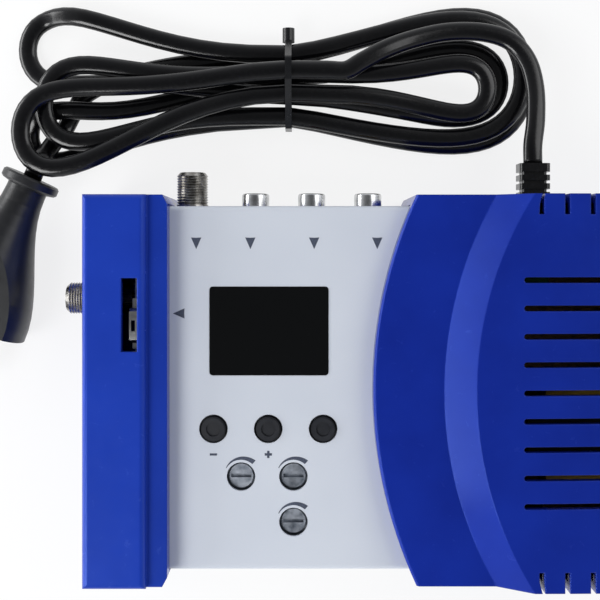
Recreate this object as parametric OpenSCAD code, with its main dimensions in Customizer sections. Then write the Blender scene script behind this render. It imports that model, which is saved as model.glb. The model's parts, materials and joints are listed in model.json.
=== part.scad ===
// RF modulator: a sheet metal chassis between two blue mouldings, with the
// flat mains cord folded and tied behind it and a two-pin plug on its end.
// The origin is at the middle of the device, on the surface it stands on.
// X runs to the right, Y to the connectors at the back and Z up.

/* [Case] */
// Length of the panel between the mouldings, at its middle
panel_len = 58.7; // [56:0.1:64]
// Depth over the mouldings, front to back
case_depth = 111.6; // [108:0.2:118]
// Wall of the mouldings
cap_wall = 2.7; // [2.2:0.1:3.2]
// Height of the panel above the base
panel_z = 33; // [31:0.5:38]
// Height of the parting line and of the connectors' axes
split_z = 18; // [17.5:0.1:19]

/* [Left moulding] */
// Length of the left moulding
left_len = 23.8; // [22:0.2:26]
// Length of its high block
block_len = 18; // [17:0.2:19]
// Height of the high block
block_h = 42; // [40:0.5:45]
// Height of the lower band beside it
left_band_h = 39; // [37:0.5:39.5]
// Rounding of the block's outer edges
block_round = 1.6; // [1:0.1:2.2]
// Bevel of the band's corners along X
band_bevel_x = 1.4; // [0.8:0.1:2]
// Bevel of the band's corners along Y
band_bevel_y = 2.6; // [1.5:0.1:3.5]
// Length of the slot in the roof
slot_len = 20.8; // [16:0.2:24]
// Width of the slot in the roof
slot_w = 4.5; // [4:0.1:5]
// Distance from the left end to the slot
slot_in = 11.2; // [10.8:0.1:11.6]

/* [Right housing] */
// Length of the housing at its middle
housing_len = 97.1; // [94:0.1:100]
// Distance from the right end to the vertical axis of the swept edges
sweep_past = 35.2; // [30:0.2:45]
// Width of the flat band
housing_band_w = 20.2; // [18:0.2:22]
// Height of the flat band
housing_band_h = 38.5; // [37:0.5:40]
// Height of the crest above the band, and radius of the hollow slope
slope_h = 6.5; // [5.5:0.1:7.5]
// Fall of the domed roof from crest to right end
dome_drop = 5; // [3:0.1:6]
// Radius of the vertical corners
corner_r = 5; // [3:0.2:8]
// Number of vent slots
vent_count = 9; // [7:2:9]
// Pitch of the vent slots
vent_pitch = 7.9; // [7:0.1:8.4]
// Width of a vent slot
vent_w = 1.6; // [1.2:0.1:2]
// Distance from the crest to the vent slots
vent_lead = 14.9; // [11:0.1:20]
// Distance from the right end to the vent slots
vent_in = 13.5; // [12:0.5:16]
// Number of edge notches in each long wall
notch_count = 6; // [4:1:7]
// Pitch of the edge notches
notch_pitch = 7.2; // [6.5:0.1:7.4]
// Width of an edge notch
notch_w = 1.4; // [1:0.1:1.8]
// Reach of an edge notch across the roof
notch_reach = 5.8; // [4.5:0.1:7]
// Distance from the right end to the last notch
notch_in = 14.6; // [13:0.2:16]

/* [Chassis] */
// Thickness of the sheet metal
sheet = 1; // [0.8:0.1:1.2]
// Length of the chassis inside the right housing, at its middle
chassis_tuck = 21.3; // [20:0.1:24]
// Hollow between the left end wall and the chassis
end_space = 11.1; // [10.9:0.1:12]
// Distance of the cover's flanges above the connectors
flange_gap = 1.25; // [1:0.05:2]
// Outer radius of the cover's bends
bend_r = 1.5; // [1.2:0.1:2.5]
// Height of the low lip at the chassis's open end
lip_h = 4; // [3:0.5:5]

/* [Panel] */
// Width of the display window
window_w = 34.4; // [30:0.2:36]
// Depth of the display window
window_d = 25.6; // [22:0.2:28]
// Corner radius of the window
window_r = 1; // [0.6:0.1:2]
// Distance from the left moulding to the middle of the window
window_in = 28.8; // [28:0.1:30]
// Place of the window's middle, as a share of the half depth
window_share = 0.296; // [0.27:0.002:0.31]
// Radius of the button and trimmer holes
hole_r = 4.15; // [4:0.05:4.4]
// Distance from the left moulding to the first button
button_in = 12.7; // [12.4:0.1:13.4]
// Pitch of the buttons
button_pitch = 15.9; // [15:0.1:16.4]
// Place of the buttons, as a share of the half depth
button_share = 0.213; // [0.2:0.001:0.224]
// Radius of a button
button_r = 3.55; // [3.3:0.05:3.65]
// Height of a button above the panel
button_proud = 0.8; // [0.4:0.1:1.5]
// Travel of a button
button_travel = 0.4; // [0.2:0.05:0.5]
// Distance from the left moulding to the first trimmer
trimmer_in = 20.7; // [20:0.1:21.4]
// Pitch of the trimmers, along X
trimmer_pitch_x = 15.2; // [14.6:0.1:16]
// Places of the two rows of trimmers, as shares of the half depth
trimmer_shares = [0.461, 0.697];
// Radius of a trimmer's rotor
rotor_r = 3.5; // [3.2:0.05:3.7]

/* [Connectors] */
// Radius of the threaded coaxial connectors
rf_r = 4.75; // [4.6:0.05:4.9]
// Length of the input connector outside the chassis
rf_in_len = 11.75; // [10:0.05:14]
// Distance from the left moulding to the input connector
rf_in_in = 5.1; // [5:0.1:5.6]
// Reach of the output connector past the left end
rf_out_reach = 9; // [8:0.1:11]
// Distance of the output connector from the back
rf_out_in = 30.4; // [29:0.1:32]
// Radius of a phono jack
rca_r = 4.15; // [4:0.05:4.3]
// Length of a phono jack outside the chassis
rca_len = 5.4; // [5:0.1:8]
// Wall of a phono jack's shell
rca_wall = 0.45; // [0.4:0.05:0.6]
// Place of the first phono jack, as a share of the panel
rca_share = 0.414; // [0.4:0.002:0.43]
// Pitch of the phono jacks, as a share of the panel
rca_pitch_share = 0.2905; // [0.28:0.0005:0.295]

/* [Rocker and cap screw] */
// Length of the rocker key
key_len = 17.4; // [15:0.1:18]
// Height of the rocker key
key_h = 8.6; // [7:0.1:10]
// Distance of the rocker from the front
key_in = 29.9; // [28:0.1:32]
// Height of the key's lobes outside the left end
key_proud = 1.1; // [0.8:0.1:1.6]
// Radius of the cap screw's head
cap_head_r = 2.4; // [2:0.1:2.8]
// Distance of the cap screw from the back
cap_screw_in = 17.3; // [16:0.1:18]

/* [Cord and plug] */
// Width of the flat cord
cord_w = 5.8; // [5.4:0.1:5.9]
// Thickness of the flat cord
cord_t = 3.6; // [3.2:0.1:3.7]
// Length of the plug's body
plug_len = 48; // [44:0.5:52]
// Width of the plug at its face
plug_w = 37; // [35:0.5:38]
// Thickness of the plug between its flats
plug_t = 22; // [20:0.5:24]
// Turn of the plug in plan, from straight forward
plug_turn = 24.5; // [20:0.5:30]

/* [Hidden] */
$fn = 48;
over = 1;              // overrun of every cut
fit = 0.3;             // clearance of sheet metal in mouldings
slip = 0.1;            // clearance of one sheet beside another
run_fit = 0.05;        // radial clearance of a turning or sliding stem
small_bevel = 0.6;     // bevel of small moulded and turned edges

// Places that the case gives
case_len = left_len + panel_len + housing_len;
left_x = -case_len / 2;
right_x = case_len / 2;
half_d = case_depth / 2;
in_d = half_d - cap_wall;
base_z = cap_wall;
cover_d = in_d - fit;
tray_d = cover_d - sheet - slip;
under_z = panel_z - sheet;
chassis_x0 = left_x + cap_wall + end_space;
panel_x0 = left_x + left_len;
chassis_x1 = panel_x0 + panel_len + chassis_tuck;
flange_z = split_z + rf_r + flange_gap;
rf_out_y = half_d - rf_out_in;
cap_screw_y = half_d - cap_screw_in;
shift_x = rf_out_reach / 2;
shift_y = (half_d - tray_d - rf_in_len) / 2;

// Inner boards
board_t = 1.6;
standoff_h = 4;
board_z = base_z + sheet + standoff_h + board_t;
board_gap = 1.4;
board_x0 = chassis_x0 + sheet + slip;
board_x1 = chassis_x1 - sheet - slip - board_gap;
board_y0 = -tray_d + sheet + 2 * board_gap;
board_y1 = tray_d - sheet - slip - fit;
lens_lip = 0.8;
lens_lip_w = 1.6;
lens_proud = 0.2;
module_h = 7.4;
control_z = under_z - lens_lip - module_h;
control_edge = 2.6;

// Panel features
window_x = panel_x0 + window_in;
window_y = window_share * half_d;
button_x = [for (i = [0 : 2]) panel_x0 + button_in + i * button_pitch];
button_y = -button_share * half_d;
trimmer_x = [panel_x0 + trimmer_in, panel_x0 + trimmer_in + trimmer_pitch_x];
trimmer_y = -trimmer_shares * half_d;
trimmers = [[trimmer_x[0], trimmer_y[0]], [trimmer_x[1], trimmer_y[0]], [trimmer_x[1], trimmer_y[1]]];
control_x0 = window_x - window_w / 2 - control_edge;
control_x1 = max(window_x + window_w / 2, trimmer_x[1] + rotor_r) + 2 * control_edge;
control_y0 = trimmer_y[1] - rotor_r - 2 * control_edge;
control_y1 = window_y + window_d / 2 + control_edge;

// Button, switch and trimmer details
switch_w = 6.2;
switch_h = 3.5;
switch_bore_r = 1.65;
switch_bore_h = 2.8;
key_lip_r = 4.7;
key_lip_h = 0.8;
key_lip_gap = 0.4;
skirt_r = 2.6;
dish_r = 2.05;
dish_h = 0.5;
trimmer_w = 9.6;
trimmer_h = 6.2;
rotor_sink = 0.6;
rotor_top = under_z - rotor_sink;
rotor_seat = 2.5;
rotor_slot_w = 1.1;
rotor_slot_h = 1.2;

// Connectors
rf_in_x = panel_x0 + rf_in_in;
rf_bevel = 1.6;
rf_bore_r = 3.3;
rf_rear = 4.4;
contact_r = 0.7;
relief_cut = 0.5;
nut_r = 6.4;
nut_h = 2.4;
washer_r = 7.6;
washer_h = 0.9;
rca_x = [for (i = [0 : 2]) panel_x0 + (rca_share + i * rca_pitch_share) * panel_len];
rca_block_w = 10.4;
rca_block_d = 12;
rca_block_h = 12.6;
rca_slit = 1.2;
rca_socket_r = 1.65;
can_x0 = board_x0 + slip;
can_x1 = control_x0 - fit;
can_d = 47;
can_h = 16.8;

// Rocker
key_z = split_z;
key_y = key_in - half_d;
key_depth = 6;
key_pivot_in = 4.6;
pivot_r = 1.2;
frame_wall = 1.2;
frame_play = 0.9;
frame_depth = 9;
frame_lip = 0.6;

// Screws
cap_screw_z = 25;
cap_head_h = 1.2;
screw_r = 1.5;
boss_r = 3.6;
boss_bore = 1.6;
boss_in = 12;
boss_x = [right_x - boss_in, chassis_x1 + boss_in];
boss_wall_in = 2.4;
boss_y = in_d - boss_wall_in;
boss_h = 9;
screw_head_r = 2.9;
screw_head_h = 2;
screw_sink = 0.5;
cover_screw_in = 8;
cover_screw_pitch = 42;
cover_screw_x = [panel_x0 + cover_screw_in, panel_x0 + cover_screw_in + cover_screw_pitch];
cover_screw_z = (flange_z + under_z) / 2;
cover_head_r = 2.4;

// Strain relief
relief_in = 28.7;
relief_x = chassis_x1 + relief_in;
relief_w = 9.2;
relief_h = 7.6;
relief_neck = 7.4;
relief_len = 10.4;
relief_flange = 2.4;
relief_groove = 0.9;

// Supply
supply_in = 8;
supply_side = 7.6;
supply_x1 = right_x - supply_in;
supply_x0 = chassis_x1 + supply_in;
supply_y = in_d - supply_side;
supply_post_h = 4;
supply_post_r = 3;
supply_z = cap_wall + supply_post_h + board_t;
core_w = 40;
core_t = 16;
core_h = 24;
coil_w = 25;
coil_d = 31;
coil_h = 15;
core_in = 24;
core_fore = 31.5;
core_x = supply_x1 - core_in;
core_y = core_fore - supply_y;
core_lift = 1.2;

// The housing's outline, as radius from the sweep axis and height
sweep_x = right_x + sweep_past;
edge_rad = sweep_past + housing_len;
foot_rad = edge_rad - housing_band_w;
crest_rad = foot_rad - slope_h;
crest_z = housing_band_h + slope_h;
vent_len = crest_rad - sweep_past - vent_in - vent_lead;
slope_steps = 8;
dome_steps = 7;

function dome_z(r) = crest_z - dome_drop * pow((crest_rad - r) / (crest_rad - sweep_past), 2);

function slope_points(wall) = [
    for (i = [0 : slope_steps]) let (a = 90 * i / slope_steps)
        [foot_rad - (slope_h + wall) * sin(a), crest_z - (slope_h + wall) * cos(a)]
];

function dome_points(wall) = [
    for (i = [1 : dome_steps])
        let (r = crest_rad - wall - (crest_rad - wall - sweep_past + over) * i / dome_steps)
            [r, dome_z(r) - wall]
];

function housing_points(wall) = concat(
    [[edge_rad - wall, 0], [edge_rad - wall, housing_band_h - wall - small_bevel],
     [edge_rad - wall - small_bevel, housing_band_h - wall]],
    [for (p = slope_points(wall)) [p[0], min(p[1], dome_z(crest_rad) - wall)]],
    dome_points(wall),
    [[sweep_past - over, 0]]
);

// The hank, in millimetres from the middle of its waist
waist_x = -31.8;
waist_y = 91.8;
level_pitch = 4.4;
column_pitch = 6.5;
tie_t = 1;
waist_lift = tie_t + fit;
lift_reach = 28;
steps = 12;
straight = 12;
// Column and level of each pass through the waist, from the plug's end
passes = [[0, 0], [3, 0], [1, 0], [2, 1], [0, 1], [3, 1], [1, 2], [2, 2.3], [1, 3.2]];
column_shares = [1.5, 0.5, -0.5, -1.5];
// Reach, middle and half height of each lobe, in millimetres
lobe_sizes = [
    [76, 2.8, 19], [-82, -16, 7.5], [67.5, 1.6, 10.8], [-83.5, 12, 10.5],
    [74, 2.8, 17], [-76, -6.5, 11.5], [62, -1.5, 7.6], [-82, -15.5, 11.8]
];
// Flare and roundness of each lobe
lobe_shares = [
    [1.2, 0.85], [2, 0.5], [1.2, 0.7], [2, 0.75], [1.2, 0.85], [2, 0.75], [1.2, 0.45], [2, 0.8]
];
// Level of each lobe at seven even places along it
lobe_levels = [
    [0, 0, 0, 0, 0, 0, 0], [0, 0, 0, 0.6, 1.1, 1.15, 0.58], [0, 0, 0, 0, 0, 0, 1],
    [1.44, 1.28, 0.15, 0, 0, 1, 1], [1, 1, 1, 1, 1, 1, 1], [2.1, 2.2, 2.2, 2.2, 2.2, 2.3, 2.4],
    [2, 2, 2, 2, 2, 2, 2], [3.4, 3.4, 3.4, 3.3, 3.3, 3.3, 3.4]
];

// Free stretches of the cord, in millimetres from the case's middle
plug_route = [
    [-111.5, 62.5, 11], [-110, 65.8, 11], [-108.8, 68.4, 10.5], [-107.4, 71.3, 7.7], [-105.6, 74.5, 5.7],
    [-103.5, 78.3, 2.3], [-100.4, 84.3, 1.8], [-96.4, 89.9, 1.8], [-85.5, 95, 1.8], [-70, 98.7, 1.8]
];
exit_route = [
    [-9, 97.9, 15.9], [-2, 101.7, 15], [7, 105.2, 13.2], [18, 107.6, 12.2], [29, 107.4, 12.2],
    [37, 104.6, 12.6], [42, 98.6, 13.4], [44, 90, 15], [43.8, 80, 17]
];

function ease(t) = let (u = min(1, max(0, t))) u * u * (3 - 2 * u);

function at_station(v, u) =
    let (n = len(v) - 1, k = min(n - 1, floor(u * n))) v[k] + (v[k + 1] - v[k]) * ease(u * n - k);

function pass_y(i) = column_shares[passes[i][0]] * column_pitch;

function level_z(level, x) = cord_t / 2 + level_pitch * level + waist_lift * (1 - ease(abs(x) / lift_reach));

function lobe_point(i, u) =
    let (reach = lobe_sizes[i][0], mid = lobe_sizes[i][1], half = lobe_sizes[i][2],
         flare = lobe_shares[i][0], blunt = lobe_shares[i][1],
         s = max(0, sin(180 * u)), spread = pow(s, blunt), x = reach * spread,
         peak = pow(flare / (1 + flare), flare / 2) / sqrt(1 + flare),
         own_y = pass_y(u < 0.5 ? i : i + 1), levels = concat([passes[i][1]], lobe_levels[i], [passes[i + 1][1]]))
    [waist_x + x,
     waist_y + own_y * (1 - ease(spread)) + mid * ease(spread) + sign(reach) * half * pow(s, flare) * cos(180 * u) / peak,
     level_z(at_station(levels, u), x)];

function waist_end(i, x) = [waist_x + x, waist_y + pass_y(i), level_z(passes[i][1], x)];

lobe_count = len(lobe_sizes);
hank_centre = concat(
    [waist_end(0, -straight)],
    [for (i = [0 : lobe_count - 1], k = [0 : steps - 1]) lobe_point(i, k / steps)],
    [lobe_point(lobe_count - 1, 1), waist_end(lobe_count, straight)]
);

// The least gap of the hank to itself, on points along its straight pieces
probes = 3;
hank_probes = [
    for (i = [0 : len(hank_centre) - 2], k = [0 : probes - 1])
        hank_centre[i] + (hank_centre[i + 1] - hank_centre[i]) * k / probes
];
probe_skip = 2 * probes + 1;
hank_gap = min([
    for (i = [0 : len(hank_probes) - 1 - probe_skip], j = [i + probe_skip : len(hank_probes) - 1])
        let (d = hank_probes[j] - hank_probes[i], across = norm([d[0], d[1]]))
            if (across < 2 * cord_w) max(across - cord_w, abs(d[2]) - cord_t)
]);
echo(hank_least_gap = hank_gap);

function path_length(p, i = 1) = i < len(p) ? norm(p[i] - p[i - 1]) + path_length(p, i + 1) : 0;

relief_end = [relief_x, half_d + relief_len, split_z];
plug_run = concat(plug_route, [waist_end(0, -straight - cord_w), waist_end(0, -straight)]);
exit_run = concat(
    [waist_end(lobe_count, straight), waist_end(lobe_count, straight + cord_w)], exit_route,
    [relief_end + [0, cord_w, 0], relief_end]
);
echo(cord_length = path_length(plug_run) + path_length(hank_centre) + path_length(exit_run));

// Shared shapes

module place() translate([shift_x, shift_y, 0]) children();

module span(x, y, z) translate([x[0], y[0], z[0]]) cube([x[1] - x[0], y[1] - y[0], z[1] - z[0]]);

module column(x, y, z, r) translate([x, y, z[0]]) cylinder(r = r, h = z[1] - z[0]);

module along_x(x, y, z, r, tip = 0)
    translate([x[0], y, z]) rotate([0, 90, 0]) cylinder(r1 = r, r2 = r - tip, h = x[1] - x[0]);

module along_y(x, y, z, r, tip = 0)
    translate([x, y[0], z]) rotate([-90, 0, 0]) cylinder(r1 = r, r2 = r - tip, h = y[1] - y[0]);

module round_rect(w, h, r) {
    square([w - 2 * r, h], center = true);
    square([w, h - 2 * r], center = true);
    for (i = [-1, 1], j = [-1, 1])
        translate([i * (w / 2 - r), j * (h / 2 - r)]) circle(r = r);
}

// A slot with round ends
module oblong(len, w) {
    square([len - w, w], center = true);
    for (s = [-1, 1]) translate([s * (len - w) / 2, 0]) circle(r = w / 2);
}

// A section that stands on its base and has round upper corners
module arched(w, h, r) {
    translate([-w / 2, 0]) square([w, h - r]);
    translate([r - w / 2, 0]) square([w - 2 * r, h]);
    for (i = [-1, 1]) translate([i * (w / 2 - r), h - r]) circle(r = r);
}

module along_case(x) translate([x[0], 0, 0]) rotate([90, 0, 90]) linear_extrude(x[1] - x[0]) children();

// A tube of flat section, swept along points
module flat_tube(path, sides) {
    n = len(path);
    half = sides / 2;
    ring = [for (k = [0 : sides - 1]) let (a = 360 * (k + (sides == 8 ? 0.5 : 0)) / sides) [cos(a), sin(a)]];
    wide = max([for (c = ring) c[0]]);
    tall = max([for (c = ring) c[1]]);
    points = [
        for (i = [0 : n - 1])
            let (t = path[min(n - 1, i + 1)] - path[max(0, i - 1)], side = [-t[1], t[0], 0] / norm([t[0], t[1]]),
                 up = cross(t / norm(t), side) * -1)
                for (c = ring)
                    path[i] + side * c[0] * cord_w / 2 / wide - up * c[1] * cord_t / 2 / tall
    ];
    faces = concat(
        [[for (k = [0 : sides - 1]) k]],
        [for (i = [0 : n - 2], k = [0 : sides - 1]) let (a = i * sides + k, b = i * sides + (k + 1) % sides)
            each [[a, a + sides, b + sides], [a, b + sides, b]]],
        [[for (k = [sides - 1 : -1 : 0]) (n - 1) * sides + k]]
    );
    polyhedron(points = points, faces = faces);
}

// Left moulding

module left_cap_form() {
    intersection() {
        along_case([left_x, left_x + block_len]) arched(case_depth, block_h, block_round);
        translate([left_x + block_len / 2, half_d, 0]) rotate([90, 0, 0])
            linear_extrude(case_depth) arched(block_len, block_h, block_round);
    }
    linear_extrude(left_band_h) polygon([
        [left_x + block_round, -half_d], [panel_x0 - band_bevel_x, -half_d],
        [panel_x0, -half_d + band_bevel_y], [panel_x0, half_d - band_bevel_y],
        [panel_x0 - band_bevel_x, half_d], [left_x + block_round, half_d]
    ]);
}

module left_cap() color("#2440A8") difference() {
    union() {
        difference() {
            left_cap_form();
            span([left_x + cap_wall, panel_x0 + over], [-in_d, in_d], [cap_wall, panel_z + fit]);
            span([left_x + cap_wall, left_x + block_len - cap_wall], [-in_d, in_d],
                 [panel_z, block_h - cap_wall]);
            span([left_x + block_len - cap_wall - over, panel_x0 - cap_wall], [-in_d, in_d],
                 [panel_z, left_band_h - cap_wall]);
            span([left_x + slot_in, left_x + slot_in + slot_w],
                 [rf_out_y + nut_r - slot_len + fit, rf_out_y + nut_r + fit], [panel_z, block_h + over]);
        }
        along_x([left_x + cap_wall / 2, chassis_x0 - slip], cap_screw_y, cap_screw_z, boss_r);
    }
    along_x([left_x - over, chassis_x0], cap_screw_y, cap_screw_z, boss_bore);
    along_x([left_x - over, left_x + cap_wall + over], rf_out_y, split_z, rf_r + fit);
    span([left_x - over, left_x + cap_wall + over],
         [key_y - frame_y - slip, key_y + frame_y + slip], [key_z - frame_z - slip, key_z + frame_z + slip]);
}

module cap_screw() color("#8C9098") {
    along_x([left_x - cap_head_h, left_x], cap_screw_y, cap_screw_z, cap_head_r);
    along_x([left_x - over / 2, chassis_x0 + sheet], cap_screw_y, cap_screw_z, screw_r);
}

// Right housing

module housing_form(wall) intersection() {
    translate([sweep_x, 0, 0]) rotate_extrude($fn = 180) polygon(housing_points(wall));
    translate([right_x - wall - housing_len, 0, wall > 0 ? cap_wall : 0]) linear_extrude(2 * crest_z)
        round_rect(2 * housing_len, case_depth - 2 * wall, corner_r - wall);
}

module housing_shell() difference() {
    housing_form(0);
    housing_form(cap_wall);
    span([right_x - 2 * housing_len, chassis_x1 + fit], [-in_d, in_d], [cap_wall, panel_z + fit]);
    translate([relief_x, in_d - over, split_z]) rotate([-90, 0, 0])
        linear_extrude(cap_wall + 2 * over) square(relief_neck + 2 * slip, center = true);
}

module boss_places() for (x = boss_x, s = [-1, 1]) translate([x, s * boss_y, 0]) children();

module housing_upper() color("#2440A8") difference() {
    union() {
        intersection() {
            housing_shell();
            span([-case_len, case_len], [-case_depth, case_depth], [split_z, 2 * crest_z]);
        }
        boss_places() column(0, 0, [split_z, split_z + boss_h], boss_r);
    }
    boss_places() column(0, 0, [split_z - over, split_z + boss_h - over], screw_r + run_fit);
    for (i = [0 : vent_count - 1])
        translate([right_x - vent_in - vent_len / 2, (i - (vent_count - 1) / 2) * vent_pitch, panel_z])
            linear_extrude(crest_z) oblong(vent_len, vent_w);
    for (i = [0 : notch_count - 1], s = [-1, 1])
        translate([right_x - notch_in - i * notch_pitch, s * half_d, panel_z - notch_reach])
            translate([-notch_w / 2, -notch_reach, 0]) cube([notch_w, 2 * notch_reach, crest_z]);
}

module housing_lower() color("#2440A8") difference() {
    union() {
        intersection() {
            housing_shell();
            span([-case_len, case_len], [-case_depth, case_depth], [0, split_z]);
        }
        boss_places() column(0, 0, [cap_wall / 2, split_z], boss_r);
        for (x = [supply_x0 + supply_post_r, supply_x1 - supply_post_r], s = [-1, 1])
            column(x, s * (supply_y - supply_post_r), [cap_wall / 2, cap_wall + supply_post_h], supply_post_r);
    }
    boss_places() column(0, 0, [-over, split_z + over], screw_r + slip);
    boss_places() column(0, 0, [-over, screw_head_h + screw_sink], screw_head_r + fit);
}

module housing_screws() color("#8C9098") boss_places() {
    column(0, 0, [screw_sink, screw_sink + screw_head_h], screw_head_r);
    column(0, 0, [screw_sink, split_z + boss_h - 2 * over], screw_r);
}

// Chassis

module chassis_tray() color("#C3C8CE") difference() {
    union() {
        span([chassis_x0, chassis_x1], [-tray_d, tray_d], [base_z, base_z + sheet]);
        for (s = [-1, 1])
            span([chassis_x0, chassis_x1], [s > 0 ? tray_d - sheet : -tray_d, s > 0 ? tray_d : sheet - tray_d],
                 [base_z, under_z - bend_r + sheet]);
        span([chassis_x0, chassis_x0 + sheet], [-tray_d, tray_d], [base_z, under_z - bend_r + sheet]);
        span([chassis_x1 - sheet, chassis_x1], [-tray_d, tray_d], [base_z, base_z + lip_h]);
    }
    along_y(rf_in_x, [tray_d - sheet - over, tray_d + over], split_z, rf_r + slip);
    for (x = rca_x) along_y(x, [tray_d - sheet - over, tray_d + over], split_z, rca_r + slip);
    along_x([chassis_x0 - over, chassis_x0 + sheet + over], rf_out_y, split_z, rf_r + slip);
    along_x([chassis_x0 - over, chassis_x0 + sheet + over], cap_screw_y, cap_screw_z, screw_r + run_fit);
    for (x = cover_screw_x) along_y(x, [-half_d, half_d], cover_screw_z, screw_r + run_fit);
}

module chassis_cover() color("#D6DAE0") difference() {
    intersection() {
        along_case([chassis_x0, chassis_x1]) difference() {
            arched(2 * cover_d, panel_z, bend_r);
            translate([0, -sheet]) arched(2 * (cover_d - sheet), panel_z, bend_r - sheet);
        }
        span([chassis_x0, chassis_x1], [-half_d, half_d], [flange_z, panel_z]);
    }
    translate([window_x, window_y, under_z - over]) linear_extrude(sheet + 2 * over)
        round_rect(window_w + 2 * slip, window_d + 2 * slip, window_r);
    for (x = button_x) column(x, button_y, [under_z - over, panel_z + over], hole_r);
    for (p = trimmers) column(p[0], p[1], [under_z - over, panel_z + over], hole_r);
    for (x = cover_screw_x, s = [-1, 1]) scale([1, s, 1])
        along_y(x, [cover_d - sheet, cover_d], cover_screw_z, screw_r + slip, screw_r - cover_head_r);
}

module cover_screws() color("#9A9EA6") for (x = cover_screw_x, s = [-1, 1]) scale([1, s, 1]) {
    along_y(x, [cover_d - sheet, cover_d], cover_screw_z, screw_r, screw_r - cover_head_r + slip);
    along_y(x, [tray_d - 2 * sheet, cover_d - sheet / 2], cover_screw_z, screw_r);
}

// Panel parts

module display_window() color("#0A0B0D") translate([window_x, window_y, 0]) {
    translate([0, 0, under_z]) linear_extrude(sheet + lens_proud) round_rect(window_w, window_d, window_r);
    translate([0, 0, under_z - lens_lip]) linear_extrude(lens_lip)
        round_rect(window_w + 2 * lens_lip_w, window_d + 2 * lens_lip_w, window_r);
}

module_w = window_w * 0.86;
module_d = window_d * 0.55;
digit_count = 4;

module display_module() color("#1B1B1D") translate([window_x, window_y, control_z]) difference() {
    translate([-module_w / 2, -module_d / 2, 0]) cube([module_w, module_d, module_h]);
    for (i = [0 : digit_count - 1])
        translate([(i - (digit_count - 1) / 2) * module_w / digit_count, 0, module_h - dish_h])
            linear_extrude(dish_h + over)
                square([module_w / digit_count - 2 * small_bevel, module_d - 4 * small_bevel], center = true);
}

module control_board() color("#1F6B3A") difference() {
    span([control_x0, control_x1], [control_y0, control_y1], [control_z - board_t, control_z]);
    spacer_places() column(0, 0, [control_z - board_t - over, control_z + over], screw_r);
}

module spacer_places()
    for (x = [control_x0 + control_edge, control_x1 - control_edge], y = [control_y0 + control_edge, control_fit_y])
        translate([x, y, 0]) children();
control_fit_y = (window_y - window_d / 2 + button_y) / 2 + control_edge / 2;

module tact_switches() color("#3A3A3E") for (x = button_x) difference() {
    translate([x - switch_w / 2, button_y - switch_w / 2, control_z]) cube([switch_w, switch_w, switch_h]);
    column(x, button_y, [control_z + switch_h - switch_bore_h, control_z + switch_h + over], switch_bore_r);
}

module button(i) color("#17181B") difference() {
    union() {
        column(button_x[i], button_y, [lip_top - key_lip_h, panel_z + button_proud - small_bevel / 2], button_r);
        column(button_x[i], button_y, [panel_z, panel_z + button_proud], button_r - small_bevel / 2);
        column(button_x[i], button_y, [lip_top - key_lip_h, lip_top], key_lip_r);
        column(button_x[i], button_y, [switch_top + button_travel + fit, lip_top], skirt_r);
        column(button_x[i], button_y, [switch_top - switch_bore_h + button_travel + fit, lip_top],
               switch_bore_r - run_fit);
    }
    column(button_x[i], button_y, [panel_z + button_proud - dish_h, panel_z + button_proud + over], dish_r);
}
lip_top = under_z - key_lip_gap;
switch_top = control_z + switch_h;

module button_left() button(0);
module button_middle() button(1);
module button_right() button(2);

module trimmer_bodies() color("#5C6066") for (p = trimmers) difference() {
    translate([p[0] - trimmer_w / 2, p[1] - trimmer_w / 2, control_z]) cube([trimmer_w, trimmer_w, trimmer_h]);
    column(p[0], p[1], [control_z + rotor_seat, control_z + trimmer_h + over], rotor_r + run_fit);
}

module trimmer_rotor(i) color("#9DA1A6") difference() {
    column(trimmers[i][0], trimmers[i][1], [control_z + rotor_seat + slip, rotor_top], rotor_r);
    translate([trimmers[i][0], trimmers[i][1], rotor_top])
        cube([2 * rotor_r - rotor_slot_w, rotor_slot_w, 2 * rotor_slot_h], center = true);
}

module trimmer_left() trimmer_rotor(0);
module trimmer_right() trimmer_rotor(1);
module trimmer_level() trimmer_rotor(2);

// Main board

board_post = 2.5;
standoff_places = [
    [board_x0 + 2 * board_post, board_y0 + 2 * board_post], [board_x1 - 2 * board_post, board_y0 + 2 * board_post],
    [can_x1 + 2 * board_post, board_y1 - 6 * board_post],
    [board_x1 - 2 * board_post, board_y1 - 6 * board_post]
];

module main_board() color("#1F6B3A")
    span([board_x0, board_x1], [board_y0, board_y1], [board_z - board_t, board_z]);

module board_standoffs() color("#B8BABD")
    for (p = standoff_places) column(p[0], p[1], [base_z + sheet, board_z - board_t], board_post);

module board_spacers() color("#D8D8D4")
    spacer_places() column(0, 0, [board_z, control_z - board_t], board_post);

chip_sizes = [[14, 14, 1.8], [10, 7, 2], [8, 5, 1.6]];
chip_places = [[window_x, 2 * button_y], [window_x, window_y], [board_x1 - chip_sizes[0][0], 0]];

module board_chips() color("#222326") for (i = [0 : len(chip_sizes) - 1])
    translate([chip_places[i][0], chip_places[i][1], board_z]) linear_extrude(chip_sizes[i][2])
        square([chip_sizes[i][0], chip_sizes[i][1]], center = true);

crystal_w = 11;
crystal_d = 4.6;
crystal_h = 3.6;

module board_crystal() color("#C9CCD0") translate([window_x, (window_y + 2 * button_y) / 2, board_z])
    linear_extrude(crystal_h) oblong(crystal_w, crystal_d);

can_r = 3.2;
can_cap_h = 8;

module board_capacitors() color("#26304E") for (i = [0 : 2])
    column(board_x1 - 2 * can_r, board_y0 + (7 + 3 * i) * can_r, [board_z, board_z + can_cap_h], can_r);

module tuner_can() color("#C6C9CE") difference() {
    span([can_x0, can_x1], [board_y1 - can_d, board_y1], [board_z, board_z + can_h]);
    for (i = [0 : 3])
        column((can_x0 + can_x1) / 2, board_y1 - can_d * (i + 0.5) / 4,
               [board_z + can_h - sheet, board_z + can_h + over], contact_r * 2);
}

// Connectors

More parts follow.
